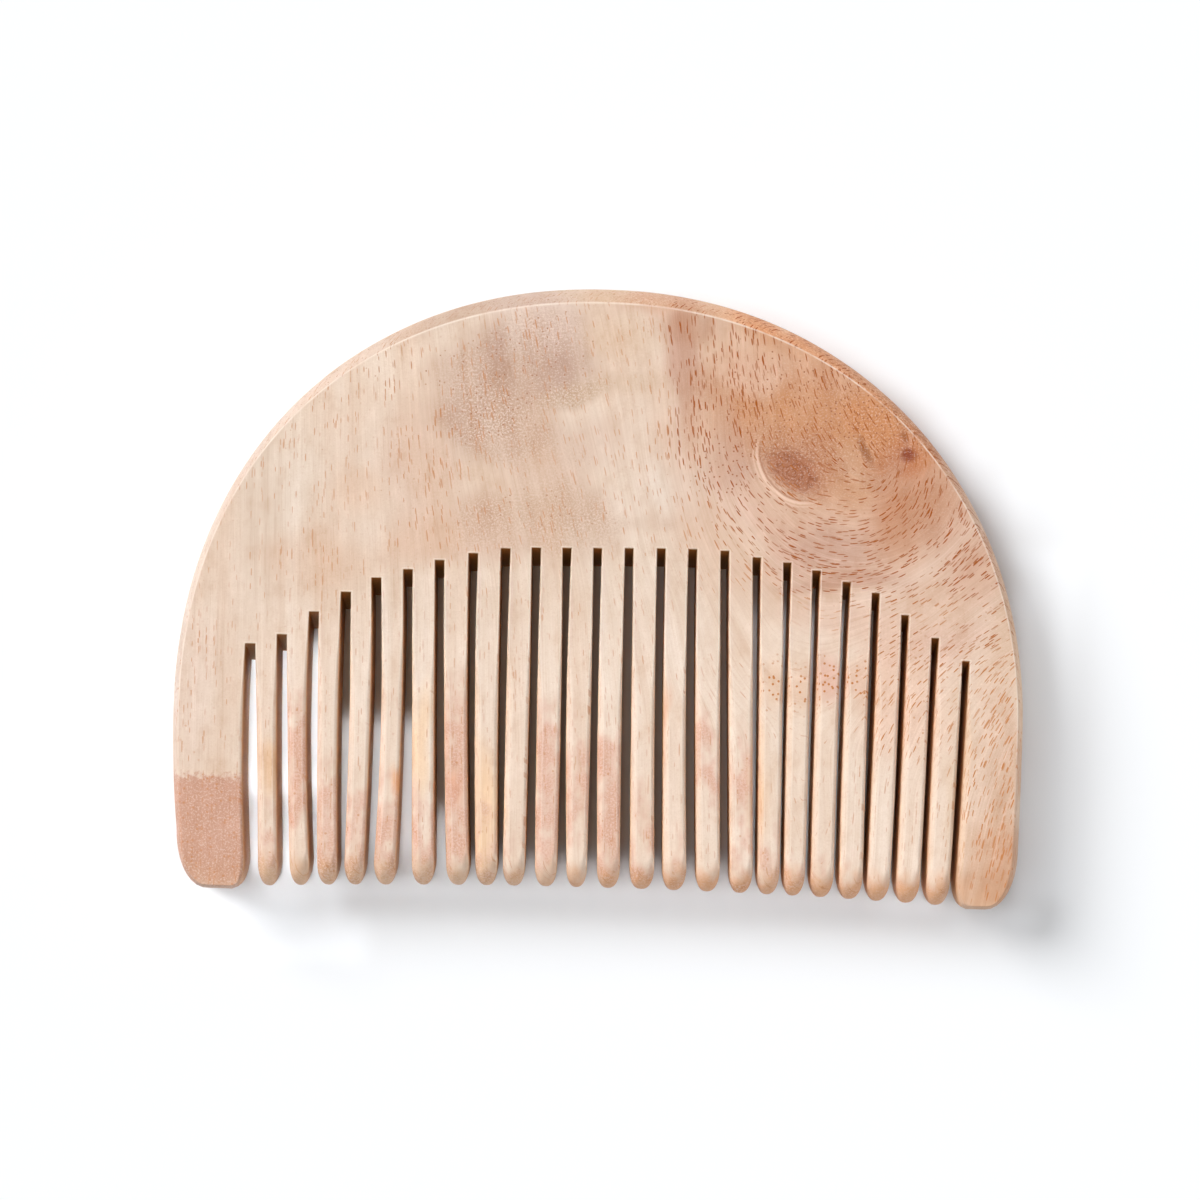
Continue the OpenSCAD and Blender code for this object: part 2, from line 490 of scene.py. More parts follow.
# The back is a grid between the root line and three stretches of the outer edge: left, top and right.
# They meet where the back's arch has turned by PATCH_CORNER.
PATCH_CORNER = math.radians(42)
patch_y = end_y + WAIST_H + (board_h - WAIST_H) * math.sin(PATCH_CORNER) ** (2 / SQUARENESS_LEFT)
left_way = np.linspace(edge_way_at(SLOTS[0][ROOT_Y], False), edge_way_at(patch_y, False), BACK_ROWS + 1)
right_way = np.linspace(edge_way_at(SLOTS[-1][ROOT_Y], True), edge_way_at(patch_y, True), BACK_ROWS + 1)
across = (root_line[:, 0] - root_line[0, 0]) / (root_line[-1, 0] - root_line[0, 0])
top_way = left_way[-1] + across * (right_way[-1] - left_way[-1])
back_left, back_top, back_right = [
    Side(*outer_edge(way), RIM_DEPTH, RIM_SOFTNESS, 1.0, rim=1.0) for way in (left_way, top_way, right_way)
]
up = np.linspace(0, 1, BACK_ROWS + 1)[:, None, None]
over = across[None, :, None]
left_line = flat_edge(back_left)[:, None]
right_line = flat_edge(back_right)[:, None]
top_line = flat_edge(back_top)[None]
low_line = root_line[None]
corners = (
    (1 - over) * (1 - up) * low_line[:, :1]
    + over * (1 - up) * low_line[:, -1:]
    + (1 - over) * up * top_line[:, :1]
    + over * up * top_line[:, -1:]
)
back_grid = (1 - up) * low_line + up * top_line + (1 - over) * left_line + over * right_line - corners

# The sheet's points: the back's grid first, then each finger's rows below the root line. Each point
# also gets its share of the slant of the slots' end walls, which fades out away from the roots.
SLANT_BACK_ROWS = 6
SLANT_FINGER_ROWS = 12
SLANT_MARGIN = 9.0
plan = [back_grid.reshape(-1, 2)]
plan_saw = [np.repeat(smooth(SLANT_BACK_ROWS, 0, np.arange(BACK_ROWS + 1)), column_count)]
ids = {}
for row in range(BACK_ROWS + 1):
    for column in range(column_count):
        ids[(row, column)] = row * column_count + column
count = len(plan[0])
finger_row = np.arange(1, finger_rows + 1)
for i, (left, end, right) in enumerate(parts):
    left_edge = flat_edge(left)[1:, None]
    right_edge = flat_edge(right)[1:, None]
    share = np.linspace(0, 1, columns[i] + 1)[None, :, None]
    grid = left_edge * (1 - share) + right_edge * share
    fall = flat_edge(end) - grid[-1]
    weight = smooth(finger_rows - TIP_ROWS, finger_rows, finger_row)[:, None, None]
    grid = grid + weight * fall[None]
    for row in range(1, finger_rows + 1):
        for k in range(columns[i] + 1):
            ids[(-row, first_column[i] + k)] = count + (row - 1) * (columns[i] + 1) + k
    plan.append(grid.reshape(-1, 2))
    plan_saw.append(np.repeat(smooth(SLANT_FINGER_ROWS, 0, finger_row), columns[i] + 1))
    count += grid.shape[0] * grid.shape[1]
plan = np.concatenate(plan)
from_side = np.minimum(plan[:, 0] - low.x / MM, high.x / MM - plan[:, 0])
plan_saw = np.concatenate(plan_saw) * smooth(0, SLANT_MARGIN, from_side)


def face_below(row, column):
    """The face between a row and the next one down, in the sheet's numbering."""
    return [ids[(row - 1, column)], ids[(row - 1, column + 1)], ids[(row, column + 1)], ids[(row, column)]]


flat_faces = [face_below(row + 1, column) for row in range(BACK_ROWS) for column in range(last_column)]
for i in range(fingers):
    for row in range(finger_rows):
        for column in range(first_column[i], first_column[i] + columns[i]):
            flat_faces.append(face_below(-row, column))
flat_faces = np.array(flat_faces)

# The edge is one loop, clockwise from the left end of the root line: over the back, then in and out
# of every slot.
SIDE_VALUES = ("rail", "inset", "depth", "softness", "crisp", "rim", "cut")
loop_ids = []
loop_sides = []


def add_run(keys, side, pick):
    """Adds a stretch of a side to the loop: its places in the sheet and its picked values."""
    loop_ids.extend(ids[key] for key in keys)
    loop_sides.append([getattr(side, name)[pick] for name in SIDE_VALUES])


add_run([(row, 0) for row in range(BACK_ROWS)], back_left, slice(0, BACK_ROWS))
add_run([(BACK_ROWS, column) for column in range(last_column)], back_top, slice(0, last_column))
add_run([(row, last_column) for row in range(BACK_ROWS, 0, -1)], back_right, slice(BACK_ROWS, 0, -1))
for i in range(fingers - 1, -1, -1):
    left, end, right = parts[i]
    begin = first_column[i]
    stop = begin + columns[i]
    last_row = 0 if i > 0 else 1
    upwards = slice(finger_rows, None if last_row == 0 else 0, -1)
    add_run([(-row, stop) for row in range(finger_rows)], right, slice(0, finger_rows))
    add_run([(-finger_rows, column) for column in range(stop, begin, -1)], end, slice(columns[i], 0, -1))
    add_run([(-row, begin) for row in range(finger_rows, last_row - 1, -1)], left, upwards)
    if i > 0:
        between = [(0, begin - 1 - k) for k in range(SLOT_COLUMNS - 1)]
        add_run(between, slot_ends[i - 1], slice(None, None, -1))
loop_ids = np.array(loop_ids)
loop_len = len(loop_ids)
rail, inset, depth, softness, crisp, rim, cut = [
    np.concatenate([run[k] for run in loop_sides]) for k in range(len(SIDE_VALUES))
]

# Rows of the rounded edge from the upper face to the lower one. "turn" is 1 at the upper face's
# edge, falls to WALL at the top of the upright wall, is 0 half way down and -1 at the lower face. The
# sawn wood starts to show at CUT_SHOWS.
WALL = 0.3
CUT_SHOWS = 0.6
BEVEL_ROWS = 7
down_turn = np.linspace(1, WALL, BEVEL_ROWS + 1)
turn_rows = np.concatenate([down_turn, [0], -down_turn[::-1]])
rows = len(turn_rows)
flat_count = len(plan)
on_face = np.abs(turn_rows) == 1
on_wall = smooth(CUT_SHOWS, WALL, np.abs(turn_rows))


def on_sheets(inside, border, rounded):
    """Values for both faces, with the loop's own at their border, then for the rounded rows."""
    sheet = np.zeros((flat_count,) + border.shape[1:]) + inside
    sheet[loop_ids] = border
    return np.concatenate([sheet, sheet, rounded])


def only_rounded(share, value):
    """A value that shows on the rounded rows only, by each row's share, and is 0 on both faces."""
    return on_sheets(0.0, np.zeros(loop_len), np.outer(share, value).ravel())


flat_rail = plan.copy()
flat_rail[loop_ids] = rail
points = np.concatenate([flat_rail, flat_rail, np.tile(rail, (rows, 1))])
insets = on_sheets(0.0, inset, np.tile(inset, (rows, 1))) * MM
values = {
    "turn": np.concatenate([np.ones(flat_count), -np.ones(flat_count), np.repeat(turn_rows, loop_len)]),
    "depth": on_sheets(1.0, depth, np.tile(depth, rows)) * MM,
    "softness": np.concatenate([np.full(2 * flat_count, RIM_SOFTNESS), np.tile(softness, rows)]),
    "border": on_sheets(0.0, np.ones(loop_len), np.zeros(rows * loop_len)),
    "saw": np.concatenate([plan_saw, plan_saw, np.tile(plan_saw[loop_ids], rows)]),
    "rim": only_rounded(~on_face, rim),
    "cut": only_rounded(on_wall, cut),
    "crease_and_highlight": only_rounded(on_face, crisp),
}

ring_ids = [loop_ids]
for row in range(rows):
    ring_ids.append(2 * flat_count + row * loop_len + np.arange(loop_len))
ring_ids.append(flat_count + loop_ids)
edge_faces = []
for upper, lower in zip(ring_ids[:-1], ring_ids[1:]):
    edge_faces.append(np.stack([upper, np.roll(upper, -1), np.roll(lower, -1), lower], 1))
faces = np.concatenate([flat_faces, flat_faces[:, ::-1] + flat_count] + edge_faces)

ATTRIBUTE_FIELDS = {"FLOAT": "value", "FLOAT_VECTOR": "vector", "FLOAT_COLOR": "color"}


def give(owner, name, kind, value):
    """Gives a mesh a value for each of its points."""
    data = owner.attributes.new(name, kind, "POINT").data
    data.foreach_set(ATTRIBUTE_FIELDS[kind], np.ascontiguousarray(value, np.float32).ravel())


base = bpy.data.meshes.new("comb_plan")
vertices = np.concatenate([points * MM, np.zeros((len(points), 1))], 1)
base.from_pydata(vertices.tolist(), [], faces.tolist())
for name, value in values.items():
    give(base, name, "FLOAT", value)
give(base, "inset", "FLOAT_VECTOR", np.concatenate([insets, np.zeros((len(insets), 1))], 1))
base.update()

# The rule that turns the plan into the board: every point is carried in from the silhouette and up
# to its height, the saw's arc slants the slots' end walls, and a slow wobble stands for hand sanding.
SIZES = {
    "Board thickness": board_t * MM,
    "Wall share": WALL,
    "Edge line": EDGE_LINE * MM,
    "Saw radius": SAW_R * MM,
    "Saw lift": SAW_LIFT * MM,
    "Sanding wobble": 0.1 * MM,
    "Wobble length": 14.0 * MM,
    "Seed": 7.0,
}


def node(tree, kind, inputs=None, **settings):
    """Adds a node, sets its properties, and joins or sets its inputs by name or number."""
    made = tree.nodes.new(kind)
    for name, value in settings.items():
        setattr(made, name, value)
    for key, value in (inputs or {}).items():
        if isinstance(value, bpy.types.NodeSocket):
            tree.links.new(value, made.inputs[key])
        else:
            made.inputs[key].default_value = value
    return made


def maths(tree, operation, *values, clamp=False):
    """A number worked out from others."""
    made = node(tree, "ShaderNodeMath", dict(enumerate(values)), operation=operation, use_clamp=clamp)
    return made.outputs[0]


def vectors(tree, operation, *values, result=0):
    """A vector worked out from others, or a length or dot product as result 1."""
    return node(tree, "ShaderNodeVectorMath", dict(enumerate(values)), operation=operation).outputs[result]


shape = bpy.data.node_groups.new("comb_from_plan", "GeometryNodeTree")
shape.interface.new_socket("Plan", in_out="INPUT", socket_type="NodeSocketGeometry")
sockets = {}
for name in SIZES:
    sockets[name] = shape.interface.new_socket(name, in_out="INPUT", socket_type="NodeSocketFloat")
sockets["Wood"] = shape.interface.new_socket("Wood", in_out="INPUT", socket_type="NodeSocketMaterial")
shape.interface.new_socket("Comb", in_out="OUTPUT", socket_type="NodeSocketGeometry")
given = node(shape, "NodeGroupInput").outputs


def calc(operation, *values, clamp=False):
    """A number in the rule."""
    return maths(shape, operation, *values, clamp=clamp)


def scaled(vector, amount):
    """A vector in the rule, made longer or shorter."""
    return node(shape, "ShaderNodeVectorMath", {0: vector, "Scale": amount}, operation="SCALE").outputs[0]


def stored(name, kind="FLOAT"):
    """A value that the plan has for each point."""
    return node(shape, "GeometryNodeInputNamedAttribute", {"Name": name}, data_type=kind).outputs["Attribute"]


def rounded_by(curve, angle):
    """A sine or cosine of the bend, raised to the edge's own softness."""
    return calc("POWER", calc("MAXIMUM", calc(curve, angle), 0.0), stored("softness"))


turn = stored("turn")
size = calc("ABSOLUTE", turn)
bend = calc("SUBTRACT", size, given["Wall share"])
bend = calc("DIVIDE", bend, calc("SUBTRACT", 1.0, given["Wall share"]), clamp=True)
angle = calc("MULTIPLY", bend, math.pi / 2)
half = calc("MULTIPLY", given["Board thickness"], 0.5)
wall_share = calc("DIVIDE", size, given["Wall share"], clamp=True)
wall_height = calc("MULTIPLY", calc("SUBTRACT", half, stored("depth")), wall_share)
height = calc("ADD", wall_height, calc("MULTIPLY", stored("depth"), rounded_by("SINE", angle)))
height = calc("ADD", half, calc("MULTIPLY", calc("SIGN", turn), height))
inset_vector = stored("inset", "FLOAT_VECTOR")
carried_in = scaled(inset_vector, calc("SUBTRACT", 1.0, rounded_by("COSINE", angle)))
past_line = calc("MULTIPLY", stored("border"), given["Edge line"])
past_line = scaled(vectors(shape, "NORMALIZE", inset_vector), past_line)
moved = vectors(shape, "ADD", carried_in, past_line)
moved = vectors(shape, "ADD", node(shape, "GeometryNodeInputPosition").outputs[0], moved)


def saw_reach(level):
    """How far the disc reaches from its axle at a height."""
    drop = calc("SUBTRACT", calc("ADD", given["Saw lift"], half), level)
    square = calc("SUBTRACT", calc("POWER", given["Saw radius"], 2.0), calc("POWER", drop, 2.0))
    return calc("SQRT", square)


slant = calc("SUBTRACT", saw_reach(given["Board thickness"]), saw_reach(height))
slant = calc("MULTIPLY", calc("MULTIPLY", slant, stored("saw")), -1.0)
shift = node(shape, "ShaderNodeCombineXYZ", {"Y": slant, "Z": height}).outputs[0]
moved = vectors(shape, "ADD", moved, shift)
formed = node(shape, "GeometryNodeSetPosition", {"Geometry": given["Plan"], "Position": moved}).outputs[0]
wobble = node(shape, "ShaderNodeTexNoise", {
    "Vector": node(shape, "GeometryNodeInputPosition").outputs[0],
    "W": given["Seed"],
    "Scale": calc("DIVIDE", 1.0, given["Wobble length"]),
    "Detail": 2.0,
}, noise_dimensions="4D").outputs[0]
wobble = calc("MULTIPLY", calc("SUBTRACT", wobble, 0.5), given["Sanding wobble"])
sanded = scaled(node(shape, "GeometryNodeInputNormal").outputs[0], wobble)
formed = node(shape, "GeometryNodeSetPosition", {"Geometry": formed, "Offset": sanded}).outputs[0]
formed = node(shape, "GeometryNodeRealizeInstances", {"Geometry": formed}).outputs[0]
formed = node(shape, "GeometryNodeSetMaterial", {"Geometry": formed, "Material": given["Wood"]}).outputs[0]
node(shape, "NodeGroupOutput", {"Comb": formed})

# The wood is pale cream and pink, with growth bands and fibres along the grain, a knot on the right,
# soft stains, orange-brown pores as dashes, and darker sawn walls. Stains that are larger than a few
# millimetres come with the mesh, in values that are worked out further down.
wood = bpy.data.materials.new("comb_wood")
wood.use_nodes = True
look = wood.node_tree

# The lights and the gloss make the wood look paler than it is. So a colour is named as it looks on a
# screen, and the wood's own is a share of its light less a veil, down to a darkest one.
PAINT_SHARE = 0.89
SCREEN_CURVE = 2.2
PAINT_VEIL = 0.022
DARKEST = 0.004


def paint(red, green, blue):
    """A colour named in screen values, as the share of light that the wood sends back."""
    light = [(value / 255) ** SCREEN_CURVE for value in (red, green, blue)]
    return (*[max(PAINT_SHARE * share - PAINT_VEIL, DARKEST) for share in light], 1.0)


def cloud(vector, factors, seed, detail=2.0, roughness=0.5):
    """Soft noise from 0 to 1, stretched by factors per millimetre, a different one for each seed."""
    placed = vectors(look, "MULTIPLY_ADD", vector, factors, (7.3 * seed, 3.1 * seed, 5.7 * seed))
    return node(look, "ShaderNodeTexNoise", {
        "Vector": placed, "Scale": 1.0, "Detail": detail, "Roughness": roughness,
    }).outputs[0]


def ease(value, start, stop, begin=0.0, end=1.0):
    """Goes smoothly from begin to end while the value goes from start to stop."""
    return node(look, "ShaderNodeMapRange", {
        "Value": value, 1: start, 2: stop, 3: begin, 4: end,
    }, interpolation_type="SMOOTHSTEP").outputs[0]


def blend(under, over, share, mode="MIX"):
    """Mixes two colours, which the Mix node takes as its inputs 6 and 7."""
    made = node(look, "ShaderNodeMix", {0: share, 6: under, 7: over}, data_type="RGBA", blend_type=mode)
    return made.outputs[2]


def mul(*values):
    return maths(look, "MULTIPLY", *values)


def add(*values):
    return maths(look, "ADD", *values)


def most(*values):
    return maths(look, "MAXIMUM", *values)


def grown(start, value, share):
    """A start value and a share of another value on top of it."""
    return maths(look, "MULTIPLY_ADD", value, share, start)


def carried(name, output="Fac"):
    """A value that comes with the mesh."""
    return node(look, "ShaderNodeAttribute", attribute_name=name).outputs[output]


here = vectors(look, "MULTIPLY", node(look, "ShaderNodeTexCoord").outputs["Object"], (1 / MM, 1 / MM, 1 / MM))
axes = node(look, "ShaderNodeSeparateXYZ", {0: here}).outputs
x_here = axes["X"]
y_here = axes["Y"]
grain = carried("grain", "Vector")
lie = carried("lie", "Vector")
rim_here = carried("rim")
cut_here = carried("cut")
# Where the crisp lines run. The material paints a pale highlight along them.
highlight_line = carried("crease_and_highlight")
saw_here = carried("saw")
blush_here = carried("blush")
marks = node(look, "ShaderNodeSeparateXYZ", {0: carried("marks", "Vector")}).outputs

# Patches of warmer and paler wood lie along the grain, over the ground colour.
colour = carried("ground", "Color")
warm_patches = ease(cloud(grain, (0.16, 0.035, 0.1), 1), 0.4, 0.75)
colour = blend(colour, paint(227, 194, 168), mul(warm_patches, 0.4))
pale_patches = ease(cloud(grain, (0.22, 0.04, 0.15), 2), 0.5, 0.8)
colour = blend(colour, paint(240, 221, 204), mul(pale_patches, 0.45))

# The lower halves of many teeth are flushed pink in soft patches.
blush = grown(blush_here, add(cloud(here, (0.5, 0.28, 0.5), 7, 3), -0.5), 3.2)
blush = mul(ease(blush, 0.0, 1.2), ease(blush_here, 0.0, 0.3))
colour = blend(colour, paint(216, 162, 138), mul(blush, 0.75))
pores = add(marks["X"], 0.3)
dots = grown(marks["Y"], blush, 0.2)
speckle = grown(marks["Z"], blush, 0.5)

# The left guard's end is flushed pink below a straight, frayed border.
flush = ease(grown(y_here, cloud(here, (1.5, 1.5, 1.5), 16, 2, 0.7), 4.0), -24.4, -25.8, 0.0, 0.85)
flush = mul(flush, ease(x_here, -47.6, -49.4))
flush = mul(flush, ease(y_here, -43.5, -40.5, 0.6, 1.0))
colour = blend(colour, paint(207, 155, 132), flush)
flush = mul(flush, ease(x_here, -59, -56, 0.6, 1.0))
speckle = grown(speckle, flush, 0.6)
dots = grown(dots, flush, 0.7)

# Small dark marks lie on coordinates that wander a little, so that none is a clean oval:
# [x, y, half width, half height, turn, edge, colour, strength].
MARK_DEPTH = 30.0
SPOTS = [
    [42.6, 20.6, 1.0, 0.9, 0, 0.7, (136, 66, 34), 0.85],
    [42, 23, 0.4, 0.9, 20, 0.8, (150, 84, 48), 0.7],
    [36.5, 21, 0.5, 2.0, 28, 0.8, (150, 90, 56), 0.75],
    [38.8, 19.5, 0.5, 1.8, 12, 0.9, (186, 116, 72), 0.5],
    [44, 26.5, 0.8, 0.6, 30, 0.7, (176, 140, 120), 0.5],
]


def oval(where, x, y, half_w, half_h, turned=0):
    """Coordinates on a turned oval on the upper face, whose length is 1 at its rim."""
    return node(look, "ShaderNodeMapping", {
        "Vector": where,
        "Location": (x, y, board_t),
        "Rotation": (0, 0, math.radians(turned)),
        "Scale": (half_w, half_h, MARK_DEPTH),
    }, vector_type="TEXTURE").outputs[0]


fray = node(look, "ShaderNodeTexNoise", {"Vector": here, "Scale": 1.2, "Detail": 1.0}).outputs["Color"]
loose = vectors(look, "ADD", here, vectors(look, "SUBTRACT", fray, (0.5, 0.5, 0.5)))
for x, y, half_w, half_h, turned, edge, tone, strength in SPOTS:
    away = vectors(look, "LENGTH", oval(loose, x, y, half_w, half_h, turned), result=1)
    colour = blend(colour, paint(*tone), mul(ease(away, 1 + edge, 1 - edge), strength))

# The knot's core is dark and curled. A thin dark line and two pale ones curve round its lower left.
core_away = vectors(look, "LENGTH", oval(loose, 26.5, 18.0, 4.1, 2.6, -32), result=1)
colour = blend(colour, paint(170, 108, 80), mul(ease(core_away, 1.3, 0.6), 0.8))
curl = maths(look, "SINE", mul(grown(core_away, cloud(here, (0.4, 0.4, 0.3), 12), 1.6), 22.0))
curl = mul(ease(curl, 0.0, 0.9), ease(core_away, 1.7, 0.6, 0.0, 0.7))
colour = blend(colour, (0.70, 0.56, 0.46, 1), curl, "MULTIPLY")
hoop = oval(here, 28.3, 20.3, 6.9, 6.9)
hoop_away = grown(vectors(look, "LENGTH", hoop, result=1), cloud(here, (0.2, 0.2, 0.2), 15), 0.12)
hoop_side = ease(vectors(look, "DOT_PRODUCT", hoop, (-0.72, -0.69, 0), result=1), 0.35, 0.9)


def crescent(radius, width, strength):
    """A thin ring round the core, shown on its lower left only."""
    gap = maths(look, "ABSOLUTE", maths(look, "SUBTRACT", hoop_away, radius))
    return mul(mul(ease(gap, width, width / 4), hoop_side), strength)


colour = blend(colour, paint(244, 212, 190), crescent(1.06, 0.045, 0.75))
colour = blend(colour, paint(168, 104, 78), crescent(1.0, 0.03, 0.55))
colour = blend(colour, paint(238, 202, 178), crescent(1.14, 0.03, 0.5))

# Growth bands and fibres run along the grain, and a mottle and fine flecks lie over them.
DARKER = (0.80, 0.66, 0.54, 1)
LIGHTER = (1.14, 1.19, 1.25, 1)
bands = cloud(grain, (0.6, 0.03, 0.35), 3, 2, 0.6)
mottle = cloud(here, (0.3, 0.2, 0.3), 14, 3, 0.65)
fibres = cloud(grain, (5.5, 0.16, 3.0), 5, 2, 0.7)
flecks = cloud(here, (3.6, 3.6, 3.6), 10, 2, 0.72)
for figure, dark_range, dark_share, light_range, light_share in (
    (bands, (0.5, 0.78), 0.3, (0.5, 0.25), 0.3),
    (mottle, (0.5, 0.72), 0.35, (0.5, 0.28), 0.4),
    (fibres, (0.5, 0.85), 0.5, (0.5, 0.15), grown(0.35, pores, 0.6)),
    (flecks, (0.52, 0.75), 0.3, (0.48, 0.25), grown(0.2, pores, 0.4)),
):
    colour = blend(colour, DARKER, mul(ease(figure, *dark_range), dark_share), "MULTIPLY")
    colour = blend(colour, LIGHTER, mul(ease(figure, *light_range), light_share), "MULTIPLY")

# The sawn walls are tan. So are the ends of the teeth, which are browner on the right, and the teeth
# above them are paler than the board.
guards = ease(maths(look, "ABSOLUTE", add(x_here, -1)), 47, 50)
tips = ease(grown(y_here, cloud(here, (0.5, 0.3, 0.5), 9), 5.0), -34.5, -38.8)
tips = mul(tips, ease(guards, 0, 1, 1.0, 0.2))
colour = blend(colour, paint(238, 186, 134), mul(cut_here, grown(0.75, tips, -0.35)))
tip_tone = blend(paint(222, 174, 134), paint(230, 158, 104), ease(x_here, -20, 15))
colour = blend(colour, tip_tone, mul(tips, 0.7))
teeth_here = mul(ease(y_here, 0, -10), ease(guards, 1, 0))
colour = blend(colour, LIGHTER, mul(teeth_here, 0.5), "MULTIPLY")

# Fine curly speckle shows where the grain is turned end up: in the stains, at the tips and on the rim.
speckle = grown(grown(speckle, tips, 0.3), rim_here, 0.35)
dots = grown(dots, rim_here, 0.45)
colour = blend(colour, paint(250, 232, 218), mul(mul(ease(flecks, 0.52, 0.62), speckle), 0.7))
colour = blend(colour, paint(172, 116, 90), mul(mul(ease(flecks, 0.47, 0.37), speckle), 0.4))

# The pores are spread on the plan, sheared with the height so that they don't run down the edges.
# A row is a layer of them: [cell, half width, half length, seed].
PORE_LAYERS = [
    [1.2, 0.095, 0.7, 11],
    [1.0, 0.09, 0.58, 23],
    [1.45, 0.1, 0.92, 37],
]
BOLD_PORES = [1.5, 0.14, 1.1, 51]
sheared = vectors(look, "MULTIPLY_ADD", axes["Z"], (1.3, -0.9, -1.0), here)


def pore_layer(cell, wide, long, seed, density):
    """Pores cut by the surface as short dashes along the fibres, more of them where the density is high."""
    placed = vectors(look, "MULTIPLY_ADD", sheared, (1 / cell, 1 / cell, 0), (seed, 2 * seed, 0))
    cells = node(look, "ShaderNodeTexVoronoi", {
        "Vector": placed, "Scale": 1.0, "Randomness": 0.9,
    }, voronoi_dimensions="2D")
    chance = node(look, "ShaderNodeSeparateColor", {0: cells.outputs["Color"]})
    kept = ease(maths(look, "SUBTRACT", density, chance.outputs[0]), -0.04, 0.04)
    offset = vectors(look, "SUBTRACT", placed, cells.outputs["Position"])
    offset = vectors(look, "MULTIPLY", offset, (cell, cell, 0))
    along = vectors(look, "DOT_PRODUCT", offset, lie, result=1)
    away = mul(vectors(look, "DOT_PRODUCT", offset, offset, result=1), wide ** -2)
    away = maths(look, "SUBTRACT", away, mul(mul(along, along), wide ** -2 - long ** -2))
    reach = grown(0.5, chance.outputs[1], 1.0)
    return mul(mul(ease(away, reach, mul(reach, 0.4)), kept), grown(0.5, chance.outputs[2], 0.5))


rows_of_pores = ease(cloud(grain, (1.3, 0.03, 1.0), 8), 0.35, 0.65, 0.4, 1.4)
density = mul(mul(pores, rows_of_pores), 0.42)
bold = mul(mul(ease(x_here, 48.5, 51), ease(y_here, -8, -16)), 0.16)
holes = pore_layer(*BOLD_PORES, bold)
for layer in PORE_LAYERS:
    holes = most(holes, pore_layer(*layer, density))

# Where the fibres come up out of the face, the pores show as round dots, larger on the teeth.
cells = node(look, "ShaderNodeTexVoronoi", {"Vector": sheared, "Scale": 1.55}, voronoi_dimensions="2D")
chance = node(look, "ShaderNodeSeparateColor", {0: cells.outputs["Color"]})
kept = ease(maths(look, "SUBTRACT", mul(dots, 0.36), chance.outputs[0]), -0.05, 0.05)
smaller = ease(y_here, 0, -6, 0.0, -0.08)
round_holes = mul(ease(add(cells.outputs["Distance"], smaller), 0.23, 0.13), kept)
holes = most(holes, round_holes)
pore_depth = most(ease(pores, 0.2, 0.8, 0.5, 1.05), mul(dots, 0.8))
knot_pores = blend(paint(168, 114, 84), paint(168, 94, 46), ease(x_here, 0, 12))
dark_pores = mul(ease(pores, 0.4, 1.0), ease(y_here, -14, 2))
pore_tone = blend(paint(206, 136, 88), knot_pores, dark_pores)
pore_tone = blend(pore_tone, paint(172, 116, 88), mul(round_holes, ease(y_here, -6, 0)))
colour = blend(colour, pore_tone, maths(look, "MULTIPLY", holes, pore_depth, clamp=True))

# The rim's tone changes round the back from the left. It is partly the wood's own colour and partly
# painted shade, darker on the upper left where the key light falls on the rim most: [x where a
# change starts, x where it is done, the rim's factors from there on].
RIM_TONES_AND_SHADE = [
    [-56, -50, (0.90, 0.88, 0.90, 1)],
    [-42, -20, (0.72, 0.66, 0.63, 1)],
    [-14, 3, (0.92, 0.86, 0.80, 1)],
    [8, 20, (1.08, 0.92, 0.78, 1)],
    [30, 44, (1.06, 1.0, 0.92, 1)],
]
rim_tone_and_shade = (0.94, 0.99, 1.05, 1)
for begin, stop, tone in RIM_TONES_AND_SHADE:
    rim_tone_and_shade = blend(rim_tone_and_shade, tone, ease(x_here, begin, stop))
# This multiplies in the rim's own tone together with its painted shade.
colour = blend(colour, rim_tone_and_shade, rim_here, "MULTIPLY")

# A pale painted highlight runs along the line where the rim and the bevels start, and the slots'
# end walls are brown.
# The painted highlight's strength varies with the mottle.
painted_highlight = ease(mottle, 0.35, 0.6, 0.3, 0.75)
colour = blend(colour, paint(253, 240, 226), mul(highlight_line, painted_highlight))
colour = blend(colour, paint(176, 118, 50), mul(mul(cut_here, saw_here), 0.8))

skin = look.nodes["Principled BSDF"]
skin.inputs["IOR"].default_value = 1.45
skin.inputs["Specular IOR Level"].default_value = 0.22
look.links.new(colour, skin.inputs["Base Color"])
look.links.new(ease(fibres, 0.2, 0.8, 0.42, 0.58), skin.inputs["Roughness"])
relief = mul(fibres, 0.012 * MM)
bump = node(look, "ShaderNodeBump", {"Height": relief, "Distance": 1.0, "Strength": 0.7}).outputs[0]
look.links.new(bump, skin.inputs["Normal"])

# The plan goes through the rule once and comes out as a plain mesh with its crisp lines kept sharp.
SHARP_ANGLE = math.radians(50)
holder = bpy.data.objects.new("comb_blank", base)
bpy.context.scene.collection.objects.link(holder)
modifier = holder.modifiers.new("shape", "NODES")
modifier.node_group = shape
for name, value in SIZES.items():
    modifier[sockets[name].identifier] = value
modifier[sockets["Wood"].identifier] = wood
bpy.context.view_layer.update()
shaped = holder.evaluated_get(bpy.context.evaluated_depsgraph_get())
mesh = bpy.data.meshes.new_from_object(shaped)
holder.modifiers.remove(modifier)
bpy.data.objects.remove(holder)
mesh.name = "comb"
mesh.shade_smooth()
crease_and_highlight = np.zeros(len(mesh.vertices), np.float32)
mesh.attributes["crease_and_highlight"].data.foreach_get("value", crease_and_highlight)
work = bmesh.new()
work.from_mesh(mesh)
for edge in work.edges:
    crisp_line = crease_and_highlight[edge.verts[0].index] > 0.5 and crease_and_highlight[edge.verts[1].index] > 0.5
    edge.smooth = not (crisp_line or edge.calc_face_angle(0) > SHARP_ANGLE)
work.to_mesh(mesh)
work.free()
places = np.zeros(len(mesh.vertices) * 3, np.float32)
mesh.vertices.foreach_get("co", places)
places = places.reshape(-1, 3) / MM

